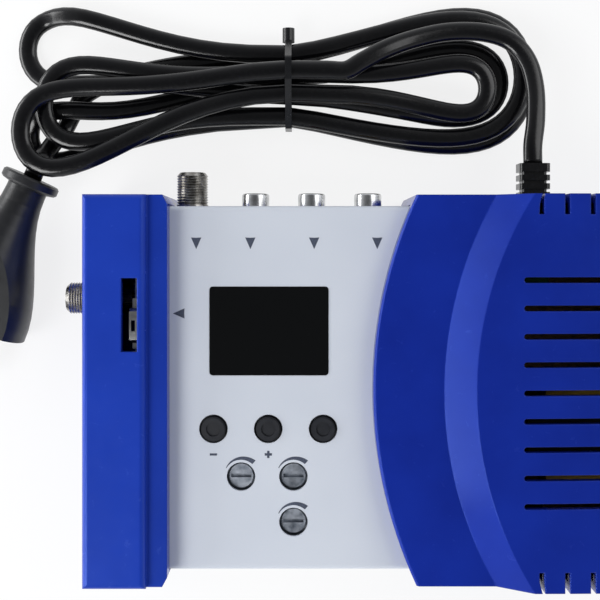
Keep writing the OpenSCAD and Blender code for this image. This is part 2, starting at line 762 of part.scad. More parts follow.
module rf_barrel(len, wall_at) rotate_extrude() difference() {
    union() {
        square([rf_r, len - rf_bevel]);
        translate([0, len - rf_bevel - small_bevel / 2])
            polygon([[0, 0], [rf_r, small_bevel / 2], [rf_r - rf_bevel / 2, rf_bevel + small_bevel / 2],
                     [0, rf_bevel + small_bevel / 2]]);
    }
    square([rf_bore_r, len + over]);
    translate([rf_r - relief_cut, wall_at]) square([relief_cut + over, relief_cut]);
}

module rf_insulator(len) rotate_extrude() difference() {
    square([rf_bore_r, len - small_bevel]);
    translate([0, len - rf_rear]) square([contact_r, rf_rear]);
}

rf_in_start = board_y1;
rf_in_full = tray_d + rf_in_len - rf_in_start;
rf_out_start = can_x0;
rf_out_full = rf_out_start - left_x + rf_out_reach;

module at_rf_in() translate([rf_in_x, rf_in_start, split_z]) rotate([-90, 0, 0]) children();
module at_rf_out() translate([rf_out_start, rf_out_y, split_z]) rotate([0, -90, 0]) children();

module rf_in_barrel() color("#A9ABAE") at_rf_in() rf_barrel(rf_in_full, half_d - rf_in_start);
module rf_out_barrel() color("#A9ABAE") at_rf_out() rf_barrel(rf_out_full, rf_out_start - left_x + washer_h + nut_h);

module rf_insulators() color("#EDEBE4") {
    at_rf_in() rf_insulator(rf_in_full);
    at_rf_out() rf_insulator(rf_out_full);
}

module ring_on_x(x, r, sides) difference() {
    translate([x[0], rf_out_y, split_z]) rotate([0, 90, 0]) cylinder(r = r, h = x[1] - x[0], $fn = sides);
    along_x([x[0] - over, x[1] + over], rf_out_y, split_z, rf_r + run_fit);
}

module rf_out_washer() color("#B9BBBE") ring_on_x([left_x - washer_h, left_x], washer_r, 48);
module rf_out_nut() color("#B0B2B5") {
    ring_on_x([left_x - washer_h - nut_h, left_x - washer_h], nut_r, 6);
    ring_on_x([chassis_x0 - nut_h, chassis_x0], nut_r, 6);
}

module rca_shells() color("#C8CACC") for (x = rca_x) translate([x, tray_d - sheet - slip, split_z])
    rotate([-90, 0, 0]) difference() {
        rotate_extrude() difference() {
            union() {
                square([rca_r, rca_full - small_bevel]);
                square([rca_r - small_bevel, rca_full]);
                translate([rca_r - small_bevel, rca_full - small_bevel]) circle(r = small_bevel);
            }
            translate([0, -over]) square([rca_r - rca_wall - small_bevel / 2, rca_full + 2 * over]);
        }
        translate([-rca_slit / 2, -rca_r - over, rca_full / 3]) cube([rca_slit, rca_r, rca_full]);
        translate([0, 0, sheet + slip]) rotate_extrude()
            translate([rca_r - rca_wall / 2, 0]) square([over, relief_cut]);
    }
rca_full = sheet + slip + rca_len;

module rca_insert(i) translate([rca_x[i], tray_d - sheet - slip, split_z])
    rotate([-90, 0, 0]) rotate_extrude() difference() {
        square([rca_r - rca_wall - small_bevel / 2 - run_fit, rca_full - small_bevel]);
        translate([0, small_bevel]) square([rca_socket_r, rca_full]);
    }

module rca_insert_white() color("#F1F1EE") rca_insert(0);
module rca_insert_red() color("#C0222A") rca_insert(1);
module rca_insert_yellow() color("#F0C419") rca_insert(2);

module rca_blocks() color("#1D1E20") for (x = rca_x)
    span([x - rca_block_w / 2, x + rca_block_w / 2],
         [tray_d - sheet - slip - rca_block_d, tray_d - sheet - slip], [board_z, board_z + rca_block_h]);

// Rocker

frame_y = key_len / 2 + frame_play + frame_wall;
frame_z = key_h / 2 + fit + frame_wall;
pivot_x = left_x + key_pivot_in;

module rocker_frame() color("#141517") difference() {
    union() {
        span([left_x - frame_lip / 2, left_x + frame_depth], [key_y - frame_y, key_y + frame_y],
             [key_z - frame_z, key_z + frame_z]);
        span([left_x - frame_lip, left_x], [key_y - frame_y - frame_lip, key_y + frame_y + frame_lip],
             [key_z - frame_z - frame_lip, key_z + frame_z + frame_lip]);
    }
    span([left_x - over, left_x + frame_depth - frame_wall],
         [key_y - frame_y + frame_wall, key_y + frame_y - frame_wall],
         [key_z - frame_z + frame_wall, key_z + frame_z - frame_wall]);
    column(pivot_x, key_y, [key_z - frame_z + frame_wall / 4, key_z + frame_z - frame_wall / 4],
           pivot_r + run_fit);
}

key_hollow = 0.9;
key_arc_r = key_len * key_len / (8 * key_hollow) + key_hollow / 2;

module rocker_key() color("#34363A") {
    translate([left_x - key_proud, key_y, key_z - key_h / 2]) linear_extrude(key_h) difference() {
        translate([key_depth / 2, 0]) round_rect(key_depth, key_len, small_bevel);
        translate([key_hollow - key_arc_r, 0]) circle(r = key_arc_r, $fn = 180);
    }
    column(pivot_x, key_y, [key_z - frame_z + frame_wall / 4 + slip, key_z + frame_z - frame_wall / 4 - slip],
           pivot_r);
}

// Supply in the right housing

module supply_board() color("#B98A3E")
    span([supply_x0, supply_x1], [-supply_y, supply_y], [supply_z - board_t, supply_z]);

module transformer_core() color("#5B5E63") translate([core_x, core_y, supply_z + core_lift]) difference() {
    translate([-core_w / 2, -core_t / 2, 0]) cube([core_w, core_t, core_h]);
    for (s = [-1, 1])
        translate([s * core_w / 4, 0, core_h / 2])
            cube([core_w / 6 + 2 * slip, core_t + 2 * over, core_h - core_w / 3], center = true);
}

module transformer_coil() color("#C9A227") translate([core_x, core_y, supply_z + core_lift]) {
    difference() {
        translate([0, 0, core_h / 2]) cube([2 * core_w / 3 - slip, coil_d, core_h - core_w / 3 - slip], center = true);
        translate([0, 0, core_h / 2]) cube([core_w / 3 + 2 * slip, core_t + 2 * slip, core_h], center = true);
        for (s = [-1, 1]) translate([s * (core_w / 2 + slip), 0, core_h / 2])
            cube([core_w / 3 + 2 * slip, core_t + 2 * slip, core_h], center = true);
    }
    for (s = [-1, 1], t = [-1, 1])
        translate([s * core_w / 5, t * (coil_d - 2 * board_post) / 2, -core_lift])
            cylinder(r = board_post / 2, h = core_lift + core_w / 6 + slip);
}

big_cap_r = 5;
big_cap_h = 16;

module supply_capacitors() color("#20283F") for (i = [0, 1])
    column(supply_x0 + 1.8 * big_cap_r, supply_y - (2 + 2.4 * i) * big_cap_r, [supply_z, supply_z + big_cap_h],
           big_cap_r);

rectifier_w = 8.6;
rectifier_h = 4;

module supply_rectifier() color("#1C1D1F") translate([supply_x0 + rectifier_w, core_y + coil_d / 2 + rectifier_w / 2, supply_z])
    linear_extrude(rectifier_h) square([rectifier_w, rectifier_w * 3 / 4], center = true);

fuse_r = 2.6;
fuse_len = 20;

module supply_fuse() color("#DDE3E4") {
    along_x([fuse_x - fuse_len / 2, fuse_x + fuse_len / 2], fuse_y, supply_z + fuse_r + sheet, fuse_r);
    for (s = [-1, 1]) translate([fuse_x + s * (fuse_len / 2 - fuse_r), fuse_y, supply_z + fuse_r / 2])
        cube([fuse_r, 2 * fuse_r, fuse_r], center = true);
}

fin_w = 20;
fin_d = 10;
fin_h = 20;
fin_t = 1.6;
fin_x = supply_x0 + (fin_w + board_post) / 2;
fin_y = -supply_y + fin_d;

module supply_heatsink() color("#2B2C2F") translate([fin_x, fin_y, supply_z]) {
    translate([-fin_w / 2, -fin_t / 2, 0]) cube([fin_w, fin_t, fin_h]);
    for (i = [0 : 4]) translate([(i - 2) * (fin_w - fin_t) / 4 - fin_t / 2, -fin_d / 2, 0])
        cube([fin_t, fin_d / 2, fin_h]);
}

module supply_regulator() color("#1A1B1D") {
    translate([fin_x - rectifier_w / 2, fin_y + fin_t / 2, supply_z + rectifier_h])
        cube([rectifier_w, rectifier_h, rectifier_w]);
    for (i = [-1, 0, 1]) column(fin_x + i * rectifier_h / 2, fin_y + fin_t / 2 + rectifier_h / 2,
                                [supply_z, supply_z + rectifier_h], contact_r / 2);
}

terminal_w = 10;
terminal_d = 8;
terminal_h = 9;
terminal_y = supply_y - 1.5 * terminal_d;
fuse_x = relief_x + fuse_len / 4;
fuse_y = terminal_y - terminal_d;

module mains_terminal() color("#2D6E4A") translate([relief_x, terminal_y, supply_z]) difference() {
    translate([-terminal_w / 2, -terminal_d / 2, 0]) cube([terminal_w, terminal_d, terminal_h]);
    for (s = [-1, 1]) column(s * terminal_w / 4, 0, [terminal_h - rectifier_h / 2, terminal_h + over], rotor_slot_h);
}

// A round lead along points that lie in a plane square to side
module lead(path, side, r) {
    n = len(path);
    sides = 8;
    points = [
        for (i = [0 : n - 1])
            let (t = path[min(n - 1, i + 1)] - path[max(0, i - 1)], up = cross(t / norm(t), side))
                for (k = [0 : sides - 1]) path[i] + r * (side * cos(360 * k / sides) + up * sin(360 * k / sides))
    ];
    faces = concat(
        [[for (k = [0 : sides - 1]) k]],
        [for (i = [0 : n - 2], k = [0 : sides - 1]) let (a = i * sides + k, b = i * sides + (k + 1) % sides)
            each [[a, b + sides, b], [a, a + sides, b + sides]]],
        [[for (k = [sides - 1 : -1 : 0]) (n - 1) * sides + k]]
    );
    polyhedron(points = points, faces = faces);
}

lead_r = 0.9;
relief_in_y = in_d - relief_flange;
terminal_back = terminal_y + terminal_d / 2;
terminal_lead_z = supply_z + terminal_h / 2;

module mains_wires() color("#6B4A2E") for (s = [-1, 1])
    translate([relief_x + s * 1.5 * lead_r, 0, 0]) lead([
        [0, relief_in_y, split_z], [0, relief_in_y - 2 * lead_r, split_z],
        [0, (2 * relief_in_y + terminal_back) / 3, (3 * split_z + terminal_lead_z) / 4],
        [0, (relief_in_y + 2 * terminal_back) / 3, (split_z + 3 * terminal_lead_z) / 4],
        [0, terminal_back + 2 * lead_r, terminal_lead_z], [0, terminal_back, terminal_lead_z]
    ], [1, 0, 0], lead_r);

wire_y = board_y0 + 15 * can_r;
wire_x0 = board_x1 - 3 * board_post;
wire_x1 = supply_x0 + board_post;

module supply_wires() color("#A3232A") for (s = [-1, 1]) translate([0, wire_y + s * 2 * lead_r, 0]) lead([
    [wire_x0, 0, board_z], [wire_x0, 0, board_z + 2 * board_post],
    [wire_x0 + board_post, 0, board_z + 3 * board_post], [wire_x1 - board_post, 0, board_z + 3 * board_post],
    [wire_x1, 0, board_z + 2 * board_post], [wire_x1, 0, supply_z]
], [0, 1, 0], lead_r);

// Cord, tie and plug

module strain_relief() color("#101114") translate([relief_x, in_d - relief_flange, split_z]) rotate([-90, 0, 0]) {
    linear_extrude(relief_flange) round_rect(relief_w, relief_w, small_bevel);
    linear_extrude(relief_flange + cap_wall) round_rect(relief_neck, relief_neck, small_bevel);
    translate([0, 0, relief_flange + cap_wall]) {
        linear_extrude(relief_len) round_rect(relief_w - 2 * relief_groove, relief_h - 2 * relief_groove, 1.5 * small_bevel);
        for (i = [0 : 3])
            translate([0, 0, i * relief_len / 4])
                linear_extrude(relief_len / 4 - (i < 3 ? relief_groove : 0)) round_rect(relief_w, relief_h, 2 * small_bevel);
    }
}

module cord_exit_run() color("#0E0F12") flat_tube(exit_run, 8);

module cord_hank() color("#0E0F12") flat_tube(hank_centre, 6);

module cord_plug_run() color("#0E0F12") flat_tube(plug_run, 8);

tie_w = 2;
tie_gap = 0.3;
knot_r = 1.9;
knot_len = 4.4;

module bundle() hull() for (i = [0 : lobe_count])
    translate([pass_y(i), level_z(passes[i][1], 0)]) square([cord_w, cord_t], center = true);

module cord_tie() color("#08090A") translate([waist_x, waist_y, 0]) {
    rotate([90, 0, 90]) translate([0, 0, -tie_w / 2]) linear_extrude(tie_w) difference() {
        offset(r = tie_gap + tie_t, $fn = 24) bundle();
        offset(r = tie_gap, $fn = 24) bundle();
    }
    along_y(0, [knot_y, knot_y + knot_len], level_z(1, 0), knot_r);
}
knot_y = 1.5 * column_pitch + cord_w / 2 + tie_gap + tie_t / 2;

plug_neck_r = 6.2;
collar_r = 9;
collar_t = 3;
neck_at = 5;
plug_steps = 12;
pin_r = 2.4;
pin_len = 19;
pin_pitch = 19;

// The plug's axis runs along Z here, from its cord end
module at_plug() translate(plug_route[0]) rotate([90, 0, -plug_turn]) children();

module plug_body() color("#0C0D10") at_plug() difference() {
    intersection() {
        rotate_extrude() polygon(concat(
            [[0, 0], [collar_r - small_bevel, 0], [collar_r, small_bevel], [collar_r, collar_t - small_bevel],
             [collar_r - small_bevel, collar_t], [plug_neck_r, collar_t + small_bevel]],
            [for (i = [0 : plug_steps]) let (t = i / plug_steps)
                [plug_neck_r + (plug_w / 2 - plug_neck_r) * ease(t), neck_at + (plug_len - neck_at) * t]],
            [[0, plug_len]]
        ));
        translate([-plug_w, -plug_t / 2, -over]) cube([2 * plug_w, plug_t, plug_len + 2 * over]);
    }
    for (s = [-1, 1]) translate([s * pin_pitch / 2, 0, plug_len - pin_len / 2])
        cylinder(r = pin_r, h = pin_len);
}

module plug_pins() color("#C9C2A8") at_plug() for (s = [-1, 1])
    translate([s * pin_pitch / 2, 0, plug_len - pin_len / 2]) {
        cylinder(r = pin_r, h = 1.5 * pin_len - pin_r);
        translate([0, 0, 1.5 * pin_len - pin_r]) sphere(r = pin_r);
    }

place() left_cap();
place() housing_upper();
place() housing_lower();
place() chassis_cover();
place() chassis_tray();
place() cover_screws();
place() cap_screw();
place() housing_screws();
place() display_window();
place() display_module();
place() control_board();
place() tact_switches();
place() button_left();
place() button_middle();
place() button_right();
place() trimmer_bodies();
place() trimmer_left();
place() trimmer_right();
place() trimmer_level();
place() main_board();
place() board_standoffs();
place() board_spacers();
place() board_chips();
place() board_crystal();
place() board_capacitors();
place() tuner_can();
place() rf_in_barrel();
place() rf_out_barrel();
place() rf_insulators();
place() rf_out_nut();
place() rf_out_washer();
place() rca_shells();
place() rca_blocks();
place() rca_insert_yellow();
place() rca_insert_white();
place() rca_insert_red();
place() rocker_frame();
place() rocker_key();
place() supply_board();
place() transformer_core();
place() transformer_coil();
place() supply_capacitors();
place() supply_rectifier();
place() supply_fuse();
place() supply_heatsink();
place() supply_regulator();
place() mains_terminal();
place() mains_wires();
place() supply_wires();
place() strain_relief();
place() cord_exit_run();
place() cord_hank();
place() cord_plug_run();
place() cord_tie();
place() plug_body();
place() plug_pins();
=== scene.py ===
"""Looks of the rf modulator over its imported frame: finishes, cord, threads and panel print."""
import json
import math

import bmesh
import bpy
from bpy.props import (
    FloatProperty, FloatVectorProperty, IntProperty, PointerProperty, StringProperty)
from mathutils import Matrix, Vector

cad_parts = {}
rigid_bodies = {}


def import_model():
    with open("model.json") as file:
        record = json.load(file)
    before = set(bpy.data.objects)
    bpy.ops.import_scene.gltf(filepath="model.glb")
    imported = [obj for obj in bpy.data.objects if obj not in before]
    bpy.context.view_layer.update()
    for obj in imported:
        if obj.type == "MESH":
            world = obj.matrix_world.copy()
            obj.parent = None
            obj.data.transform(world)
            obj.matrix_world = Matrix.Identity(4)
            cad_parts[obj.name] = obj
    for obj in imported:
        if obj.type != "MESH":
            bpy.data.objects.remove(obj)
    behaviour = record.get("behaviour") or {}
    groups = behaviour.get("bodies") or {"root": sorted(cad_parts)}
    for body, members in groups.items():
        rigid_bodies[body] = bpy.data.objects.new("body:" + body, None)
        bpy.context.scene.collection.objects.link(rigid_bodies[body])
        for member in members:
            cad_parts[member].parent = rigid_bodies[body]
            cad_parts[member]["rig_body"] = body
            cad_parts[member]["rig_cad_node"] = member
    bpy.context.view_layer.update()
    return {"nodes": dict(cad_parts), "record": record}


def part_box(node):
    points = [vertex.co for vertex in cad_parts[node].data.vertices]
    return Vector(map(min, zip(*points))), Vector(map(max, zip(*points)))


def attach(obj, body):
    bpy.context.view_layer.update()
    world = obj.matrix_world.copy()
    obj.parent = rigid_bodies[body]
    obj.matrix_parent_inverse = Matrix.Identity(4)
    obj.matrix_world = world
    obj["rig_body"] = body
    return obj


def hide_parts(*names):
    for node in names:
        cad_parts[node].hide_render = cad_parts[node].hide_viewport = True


bl_info = {
    "name": "RF Modulator Looks",
    "version": (1, 0, 0),
    "blender": (4, 5, 0),
    "location": "3D View > Sidebar > Modulator",
    "description": "Finishes, cord, threads and panel print of a small signal modulator",
    "category": "Object",
}

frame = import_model()
MM = 0.001

# The part's own frame lies off the middle of its case by these two lengths.
SHIFT_X = 4.5
SHIFT_Y = -3.825

# Two places this near to each other, in metres, count as one.
NEAR = 1e-5
# A face looks along an axis where this much of its normal lies along it.
FACING = 0.9
# A barrel's point is on its outside past this share of the radius.
OUTSIDE = 0.95
ROD_SIDES = 64
# Side of the photograph, and how far over its middle the point below the camera shows, in pixels
PHOTO_SIDE = 600
VIEW_RISE = 50


def at(point):
    """A point of the case's millimetres, in the shared frame's metres."""
    return Vector(((point[0] + SHIFT_X) * MM, (point[1] + SHIFT_Y) * MM, point[2] * MM))


# Sizes and colours a user would change


def metres(name, description, default):
    """A setting that is a length."""
    return FloatProperty(name=name, description=description, default=default, unit="LENGTH")


def hex_code(name, description, default):
    """A setting that is a colour."""
    return StringProperty(name=name, description=description + ", as sRGB hex", default=default)


class CordSettings(bpy.types.PropertyGroup):
    """Sizes of the flat mains cord."""

    width: metres("Width", "Width of the flat cord", 0.0058)
    thickness: metres("Thickness", "Thickness of the flat cord", 0.0036)
    length: metres("Length", "Length from strain relief to plug", 1.551)
    rings: IntProperty(
        name="Rings", description="Rings of the tube in each loop", default=40, min=16, max=60)
    sides: IntProperty(
        name="Sides", description="Points round the cord", default=20, min=12, max=32)


class SweepSettings(bpy.types.PropertyGroup):
    """Sizes of the right housing's swept slope, as distances from the sweep's upright axis."""

    past: metres("Axis", "Distance of the axis past the housing's right end", 0.0352)
    foot: metres("Foot", "Radius of the slope's foot", 0.1121)
    rise: metres("Rise", "Height of the slope, and width that the solid gives it", 0.0065)
    wider: metres("Wider", "Width added to the slope, inwards from its crest", 0.0017)
    fade: metres("Fade", "Width of roof that takes up the change", 0.005)


class ThreadSettings(bpy.types.PropertyGroup):
    """Sizes of the coaxial connectors' threads."""

    pitch: metres("Pitch", "Distance between thread crests", 0.00079)
    depth: metres("Depth", "Depth of the thread", 0.00038)
    bore: metres("Bore radius", "Radius of the bore", 0.00335)
    chamfer: metres("Chamfer", "Length of the bevelled end", 0.0011)
    bevel: metres("Bevel", "How far the bevelled end is drawn in", 0.0009)
    in_run: metres("Input run", "Length of the input connector's thread", 0.009)
    out_run: metres("Output run", "Length of the output connector's thread", 0.0078)


class PhonoSettings(bpy.types.PropertyGroup):
    """Sizes of the phono jacks' shells."""

    bore: metres("Bore radius", "Radius of the bore", 0.00342)
    rim: metres("Rim", "Width of the rolled rim", 0.00072)
    step: metres("Step", "Distance of the step from the rim", 0.0046)
    waist: FloatProperty(
        name="Waist", description="Share of its width that a shell keeps behind the step",
        default=0.97, min=0.9, max=1.0, subtype="FACTOR")


class SpringSettings(bpy.types.PropertyGroup):
    """Sizes of the earthing spring's folded strip."""

    width: metres("Width", "Width of the strip", 0.0022)
    sheet: metres("Sheet", "Thickness of the strip", 0.00035)
    rim: metres("Rim", "Width left round the window in the leaf", 0.00055)


class PrintSettings(bpy.types.PropertyGroup):
    """Sizes of the marks printed on the panel."""

    film: metres("Film", "Thickness of the ink", 0.00004)
    arrow: metres("Arrow", "Length of an arrow", 0.0034)
    sign: metres("Sign", "Width of a plus or minus", 0.0021)
    arc_radius: metres("Arc radius", "Inner radius of a level arc", 0.0049)
    arc_width: metres("Arc width", "Widest part of a level arc", 0.0014)


class FinishSettings(bpy.types.PropertyGroup):
    """Main colours of the finishes."""

    blue: hex_code("Blue", "Colour of the left cap", "19359C")
    # The same blue as the cap, darkened as painted shade.
    housing: hex_code("Housing", "Colour of the right housing", "112585")
    panel: hex_code("Panel", "Colour of the painted panel", "D0D6E0")
    ink: hex_code("Ink", "Colour of the printed marks", "343B4C")
    cord: hex_code("Cord", "Colour of the cord", "050507")
    floor: hex_code("Floor", "Colour of the floor", "F6F7F8")


class StageSettings(bpy.types.PropertyGroup):
    """Camera and lamps."""

    height: metres("Camera height", "Height of the camera above the floor", 0.333)
    lens: FloatProperty(
        name="Lens", description="Focal length in millimetres", default=62.07, unit="CAMERA")
    look: FloatVectorProperty(
        name="Look point", description="Point that the camera looks down on",
        default=(-0.0237, 0.036175), size=2, unit="LENGTH")
    key: FloatProperty(
        name="Key lamp", description="Power of the key lamp", default=3.1, unit="POWER")
    side: FloatProperty(
        name="Side lamp", description="Power of the low lamp on the left", default=3.5,
        unit="POWER")
    fill: FloatProperty(
        name="Fill lamp", description="Power of the fill lamp", default=1.5, unit="POWER")
    sky: FloatProperty(
        name="Sky", description="Strength of the even light near the horizon", default=1.15,
        min=0.0)
    zenith: FloatProperty(
        name="Zenith", description="Strength of the even light overhead", default=0.12, min=0.0)
    glow: FloatProperty(
        name="Backdrop glow",
        description="Share of plain white in the floor, as the camera sees it", default=0.82,
        min=0.0, max=1.0, subtype="FACTOR")


# Editing helpers


def put_down():
    """Deselects everything, so that the next operator acts on its own piece only."""
    if bpy.context.object and bpy.context.object.mode != "OBJECT":
        bpy.ops.object.mode_set(mode="OBJECT")
    bpy.ops.object.select_all(action="DESELECT")
    bpy.context.view_layer.objects.active = None


def take_up(piece):
    """Selects one piece alone."""
    put_down()
    piece.select_set(True)
    bpy.context.view_layer.objects.active = piece


def fix_place(piece, name):
    """Names a new primitive and puts its place into its mesh."""
    piece.name = name
    piece.data.name = name
    bpy.ops.object.transform_apply(location=True, rotation=True, scale=True)
    return piece


def pick(piece, test, kind="verts"):
    """Selects in edit mode the points, edges or faces that pass a test."""
    modes = {"verts": "VERT", "edges": "EDGE", "faces": "FACE"}
    bpy.ops.mesh.select_mode(type=modes[kind])
    bpy.ops.mesh.select_all(action="DESELECT")
    shape = bmesh.from_edit_mesh(piece.data)
    for part in getattr(shape, kind):
        if test(part):
            part.select_set(True)
    shape.select_flush_mode()
    bmesh.update_edit_mesh(piece.data)


def join_all(pieces, name):
    """Joins copies into one piece."""
    put_down()
    for piece in pieces:
        piece.select_set(True)
    bpy.context.view_layer.objects.active = pieces[0]
    bpy.ops.object.join()
    pieces[0].name = name
    pieces[0].data.name = name
    return pieces[0]


def copy_to(piece, move, name):
    """Copies a piece with its own mesh and moves the copy's mesh."""
    twin = piece.copy()
    twin.data = piece.data.copy()
    bpy.context.scene.collection.objects.link(twin)
    take_up(twin)
    twin.location = move
    return fix_place(twin, name)


def add_rod(name, centre, radius, length, axis):
    """Adds a closed rod that lies along x, axis 0, or y, axis 1."""
    turn = (math.pi / 2, 0, 0) if axis == 1 else (0, math.pi / 2, 0)
    put_down()
    bpy.ops.mesh.primitive_cylinder_add(
        vertices=ROD_SIDES, radius=radius, depth=length, location=centre, rotation=turn)
    return fix_place(bpy.context.object, name)


def open_bore(piece, axis, wall):
    """Insets a rod's two end faces by its wall, removes their middles and bridges the bore."""
    pick(piece, lambda f: abs(f.normal[axis]) > FACING, "faces")
    bpy.ops.mesh.inset(thickness=wall)
    bpy.ops.mesh.delete(type="FACE")
    pick(piece, lambda e: e.is_boundary, "edges")
    bpy.ops.mesh.bridge_edge_loops()


def off_axis(point, middle, axis):
    """A point's distance from the line through a middle along an axis."""
    away = point - middle
    away[axis] = 0
    return away.length


def draw_in(share, axis, middle):
    """Scales what is selected towards that line, to a share of its distance."""
    scale = [share] * 3
    scale[axis] = 1
    bpy.ops.transform.resize(value=scale, center_override=middle)


def edit_all():
    """Enters edit mode with everything selected."""
    bpy.ops.object.mode_set(mode="EDIT")
    bpy.ops.mesh.select_all(action="SELECT")


def cut_across(axis, place):
    """Cuts everything by the plane that crosses an axis at a place."""
    spot, line = Vector(), Vector()
    spot[axis], line[axis] = place, 1.0
    bpy.ops.mesh.select_all(action="SELECT")
    bpy.ops.mesh.bisect(plane_co=spot, plane_no=line)


def close_up(smooth_under=None):
    """Turns all faces outwards and leaves edit mode; edges under that many degrees go smooth."""
    bpy.ops.mesh.select_all(action="SELECT")
    bpy.ops.mesh.normals_make_consistent(inside=False)
    bpy.ops.object.mode_set(mode="OBJECT")
    if smooth_under:
        bpy.ops.object.shade_smooth_by_angle(angle=math.radians(smooth_under))


def middle_of(node):
    """Middle of a node's box."""
    low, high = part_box(node)
    return (low + high) / 2


def dress(piece, material, body="device"):
    """Gives a finished piece its material and the body it rides on."""
    piece.data.materials.clear()
    piece.data.materials.append(material)
    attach(piece, body)


# Material helpers


def linear(code):
    """An sRGB hex colour as linear red, green, blue and alpha."""
    parts = [int(code[i:i + 2], 16) / 255 for i in (0, 2, 4)]
    return [p / 12.92 if p <= 0.04045 else ((p + 0.055) / 1.055) ** 2.4 for p in parts] + [1.0]


# Sockets of a Mix node that hold its two colours and give the mixed one
MIX_A = 6
MIX_B = 7
MIXED = 2
# At this divisor, a wave texture's pale and dark bands are each about as wide as the size given.
WAVE_SHARE = 6.28


def add(tree, kind, settings=None, links=None):
    """Adds a node with its settings and links.

    A name in small letters is a property, any other name or number a socket. A node that is
    linked from gives its first output.
    """
    made = tree.nodes.new("ShaderNode" + kind)
    for name, value in (settings or {}).items():
        if isinstance(name, str) and name[0].islower():
            setattr(made, name, value)
        else:
            made.inputs[name].default_value = value
    for name, source in (links or {}).items():
        if isinstance(source, bpy.types.Node):
            source = source.outputs[0]
        tree.links.new(source, made.inputs[name])
    return made


def begin(name):
    """A new empty material, its tree, and the link that puts a texture on Object coordinates."""
    material = bpy.data.materials.new(name)
    material.use_nodes = True
    tree = material.node_tree
    tree.nodes.clear()
    return material, tree, {"Vector": add(tree, "TexCoord").outputs["Object"]}


def end(material, tree, colour, layers, relief, settings, rough=None):
    """Finishes a material: its layers of colour, its roughness and relief, its shader and output.

    A layer is a colour and the pattern that lays it over what is under it. Where a layer goes on
    with three numbers, it starts at the first value of the pattern and reaches the third number
    as its share at the second. Rough is a pattern, its two values and the roughness at each.
    A relief is a strength, a depth in millimetres and the links that give its height.
    """
    links = {}
    for over, share, *span in layers:
        if span:
            share = add(tree, "MapRange", {
                "From Min": span[0], "From Max": span[1], "To Max": span[2]}, {"Value": share})
        mix = add(tree, "Mix", {
            "data_type": "RGBA", MIX_A: linear(colour), MIX_B: linear(over)}, {0: share})
        if links:
            tree.links.new(links["Base Color"], mix.inputs[MIX_A])
        links["Base Color"] = mix.outputs[MIXED]
    if rough:
        links["Roughness"] = add(tree, "MapRange", {
            "From Min": rough[1], "From Max": rough[2], "To Min": rough[3], "To Max": rough[4]}, {
            "Value": rough[0]})
    if relief:
        links["Normal"] = add(tree, "Bump", {
            "Strength": relief[0], "Distance": relief[1] * MM}, relief[2])
    shader = add(tree, "BsdfPrincipled", settings, links)
    add(tree, "OutputMaterial", links={"Surface": shader})
    return material


def per_mm(size):
    """Texture scale at which one cell of a pattern is this many millimetres across."""
    return 1 / (size * MM)


# Materials


def moulded_plastic(name, colour, shade, gloss=(0.24, 0.34), grain=0.35, relief=0.006,
                    wear="5A66A8", edge=0.0, tint="FFFFFF"):
    """Thermoplastic shot into a steel mould: cloudy flow, fine grain and light handling scuffs."""
    material, tree, place = begin(name)
    flow = add(tree, "TexNoise", {"Scale": per_mm(22), "Detail": 3.0, "Roughness": 0.5}, place)
    rub = add(tree, "TexNoise", {
        "Scale": per_mm(3.2), "Detail": 6.0, "Roughness": 0.7, "Distortion": 0.6}, place)
    # Real grain is several times finer. It is drawn as coarse as it needs to be to show.
    height = {"Height": add(tree, "TexNoise", {"Scale": per_mm(grain), "Detail": 2.0}, place)}
    if edge:
        # Rounded edges, a share of a millimetre wide, catch a thin line of light.
        height["Normal"] = add(tree, "Bevel", {"samples": 6, "Radius": edge * MM})
    return end(material, tree, colour, (
        (shade, flow, 0.3, 0.7, 1.0), (wear, rub, 0.66, 0.8, 0.3)), (0.35, relief, height),
        {"IOR": 1.5, "Specular Tint": linear(tint)}, (rub, 0.35, 0.75, *gloss))


def painted_steel(name, colour, fleck, dust):
    """Silver paint sprayed on steel: fine bright flecks in a smooth satin film."""
    material, tree, place = begin(name)
    # Real flakes are a tenth of this. They are drawn as coarse as they need to be to show.
    flakes = add(tree, "TexNoise", {
        "Scale": per_mm(0.55), "Detail": 2.0, "Roughness": 0.6}, place)
    cloud = add(tree, "TexNoise", {"Scale": per_mm(26), "Detail": 2.0}, place)
    return end(material, tree, colour, (
        (fleck, flakes, 0.42, 0.62, 1.0), (dust, cloud, 0.3, 0.75, 0.16)),
        (0.2, 0.004, {"Height": flakes}), {"Metallic": 0.15, "IOR": 1.5},
        (flakes, 0.3, 0.7, 0.38, 0.5))


def rolled_metal(name, colour, shade, spangle, rough=(0.3, 0.48)):
    """Rolled sheet with a frozen or etched skin: crystals, each a little brighter or duller."""
    material, tree, place = begin(name)
    cells = add(tree, "TexVoronoi", {"Scale": per_mm(spangle)}, place)
    grey = add(tree, "SeparateColor", links={"Color": cells.outputs["Color"]})
    rolled = add(tree, "TexNoise", {"Scale": per_mm(0.6), "Detail": 2.0}, place)
    return end(material, tree, colour, ((shade, grey.outputs["Red"]),),
               (0.25, 0.005, {"Height": rolled}), {"Metallic": 1.0},
               (grey.outputs["Green"], 0.0, 1.0, *rough))


def turned_metal(name, colour, shade, axis, rough=(0.16, 0.34), line=0.12):
    """Metal turned in a lathe and plated: fine rings round the axis, dark where grease gathers."""
    material, tree, place = begin(name)
    stretch = [per_mm(4.0)] * 3
    stretch[axis] = per_mm(line)
    drawn = add(tree, "Mapping", {"Scale": stretch}, place)
    rings = add(tree, "TexNoise", {"Scale": 1.0, "Detail": 3.0}, {"Vector": drawn})
    stain = add(tree, "TexNoise", {"Scale": per_mm(2.4), "Detail": 4.0}, place)
    return end(material, tree, colour, ((shade, stain, 0.4, 0.75, 1.0),),
               (0.3, 0.006, {"Height": rings}), {"Metallic": 1.0}, (rings, 0.3, 0.7, *rough))


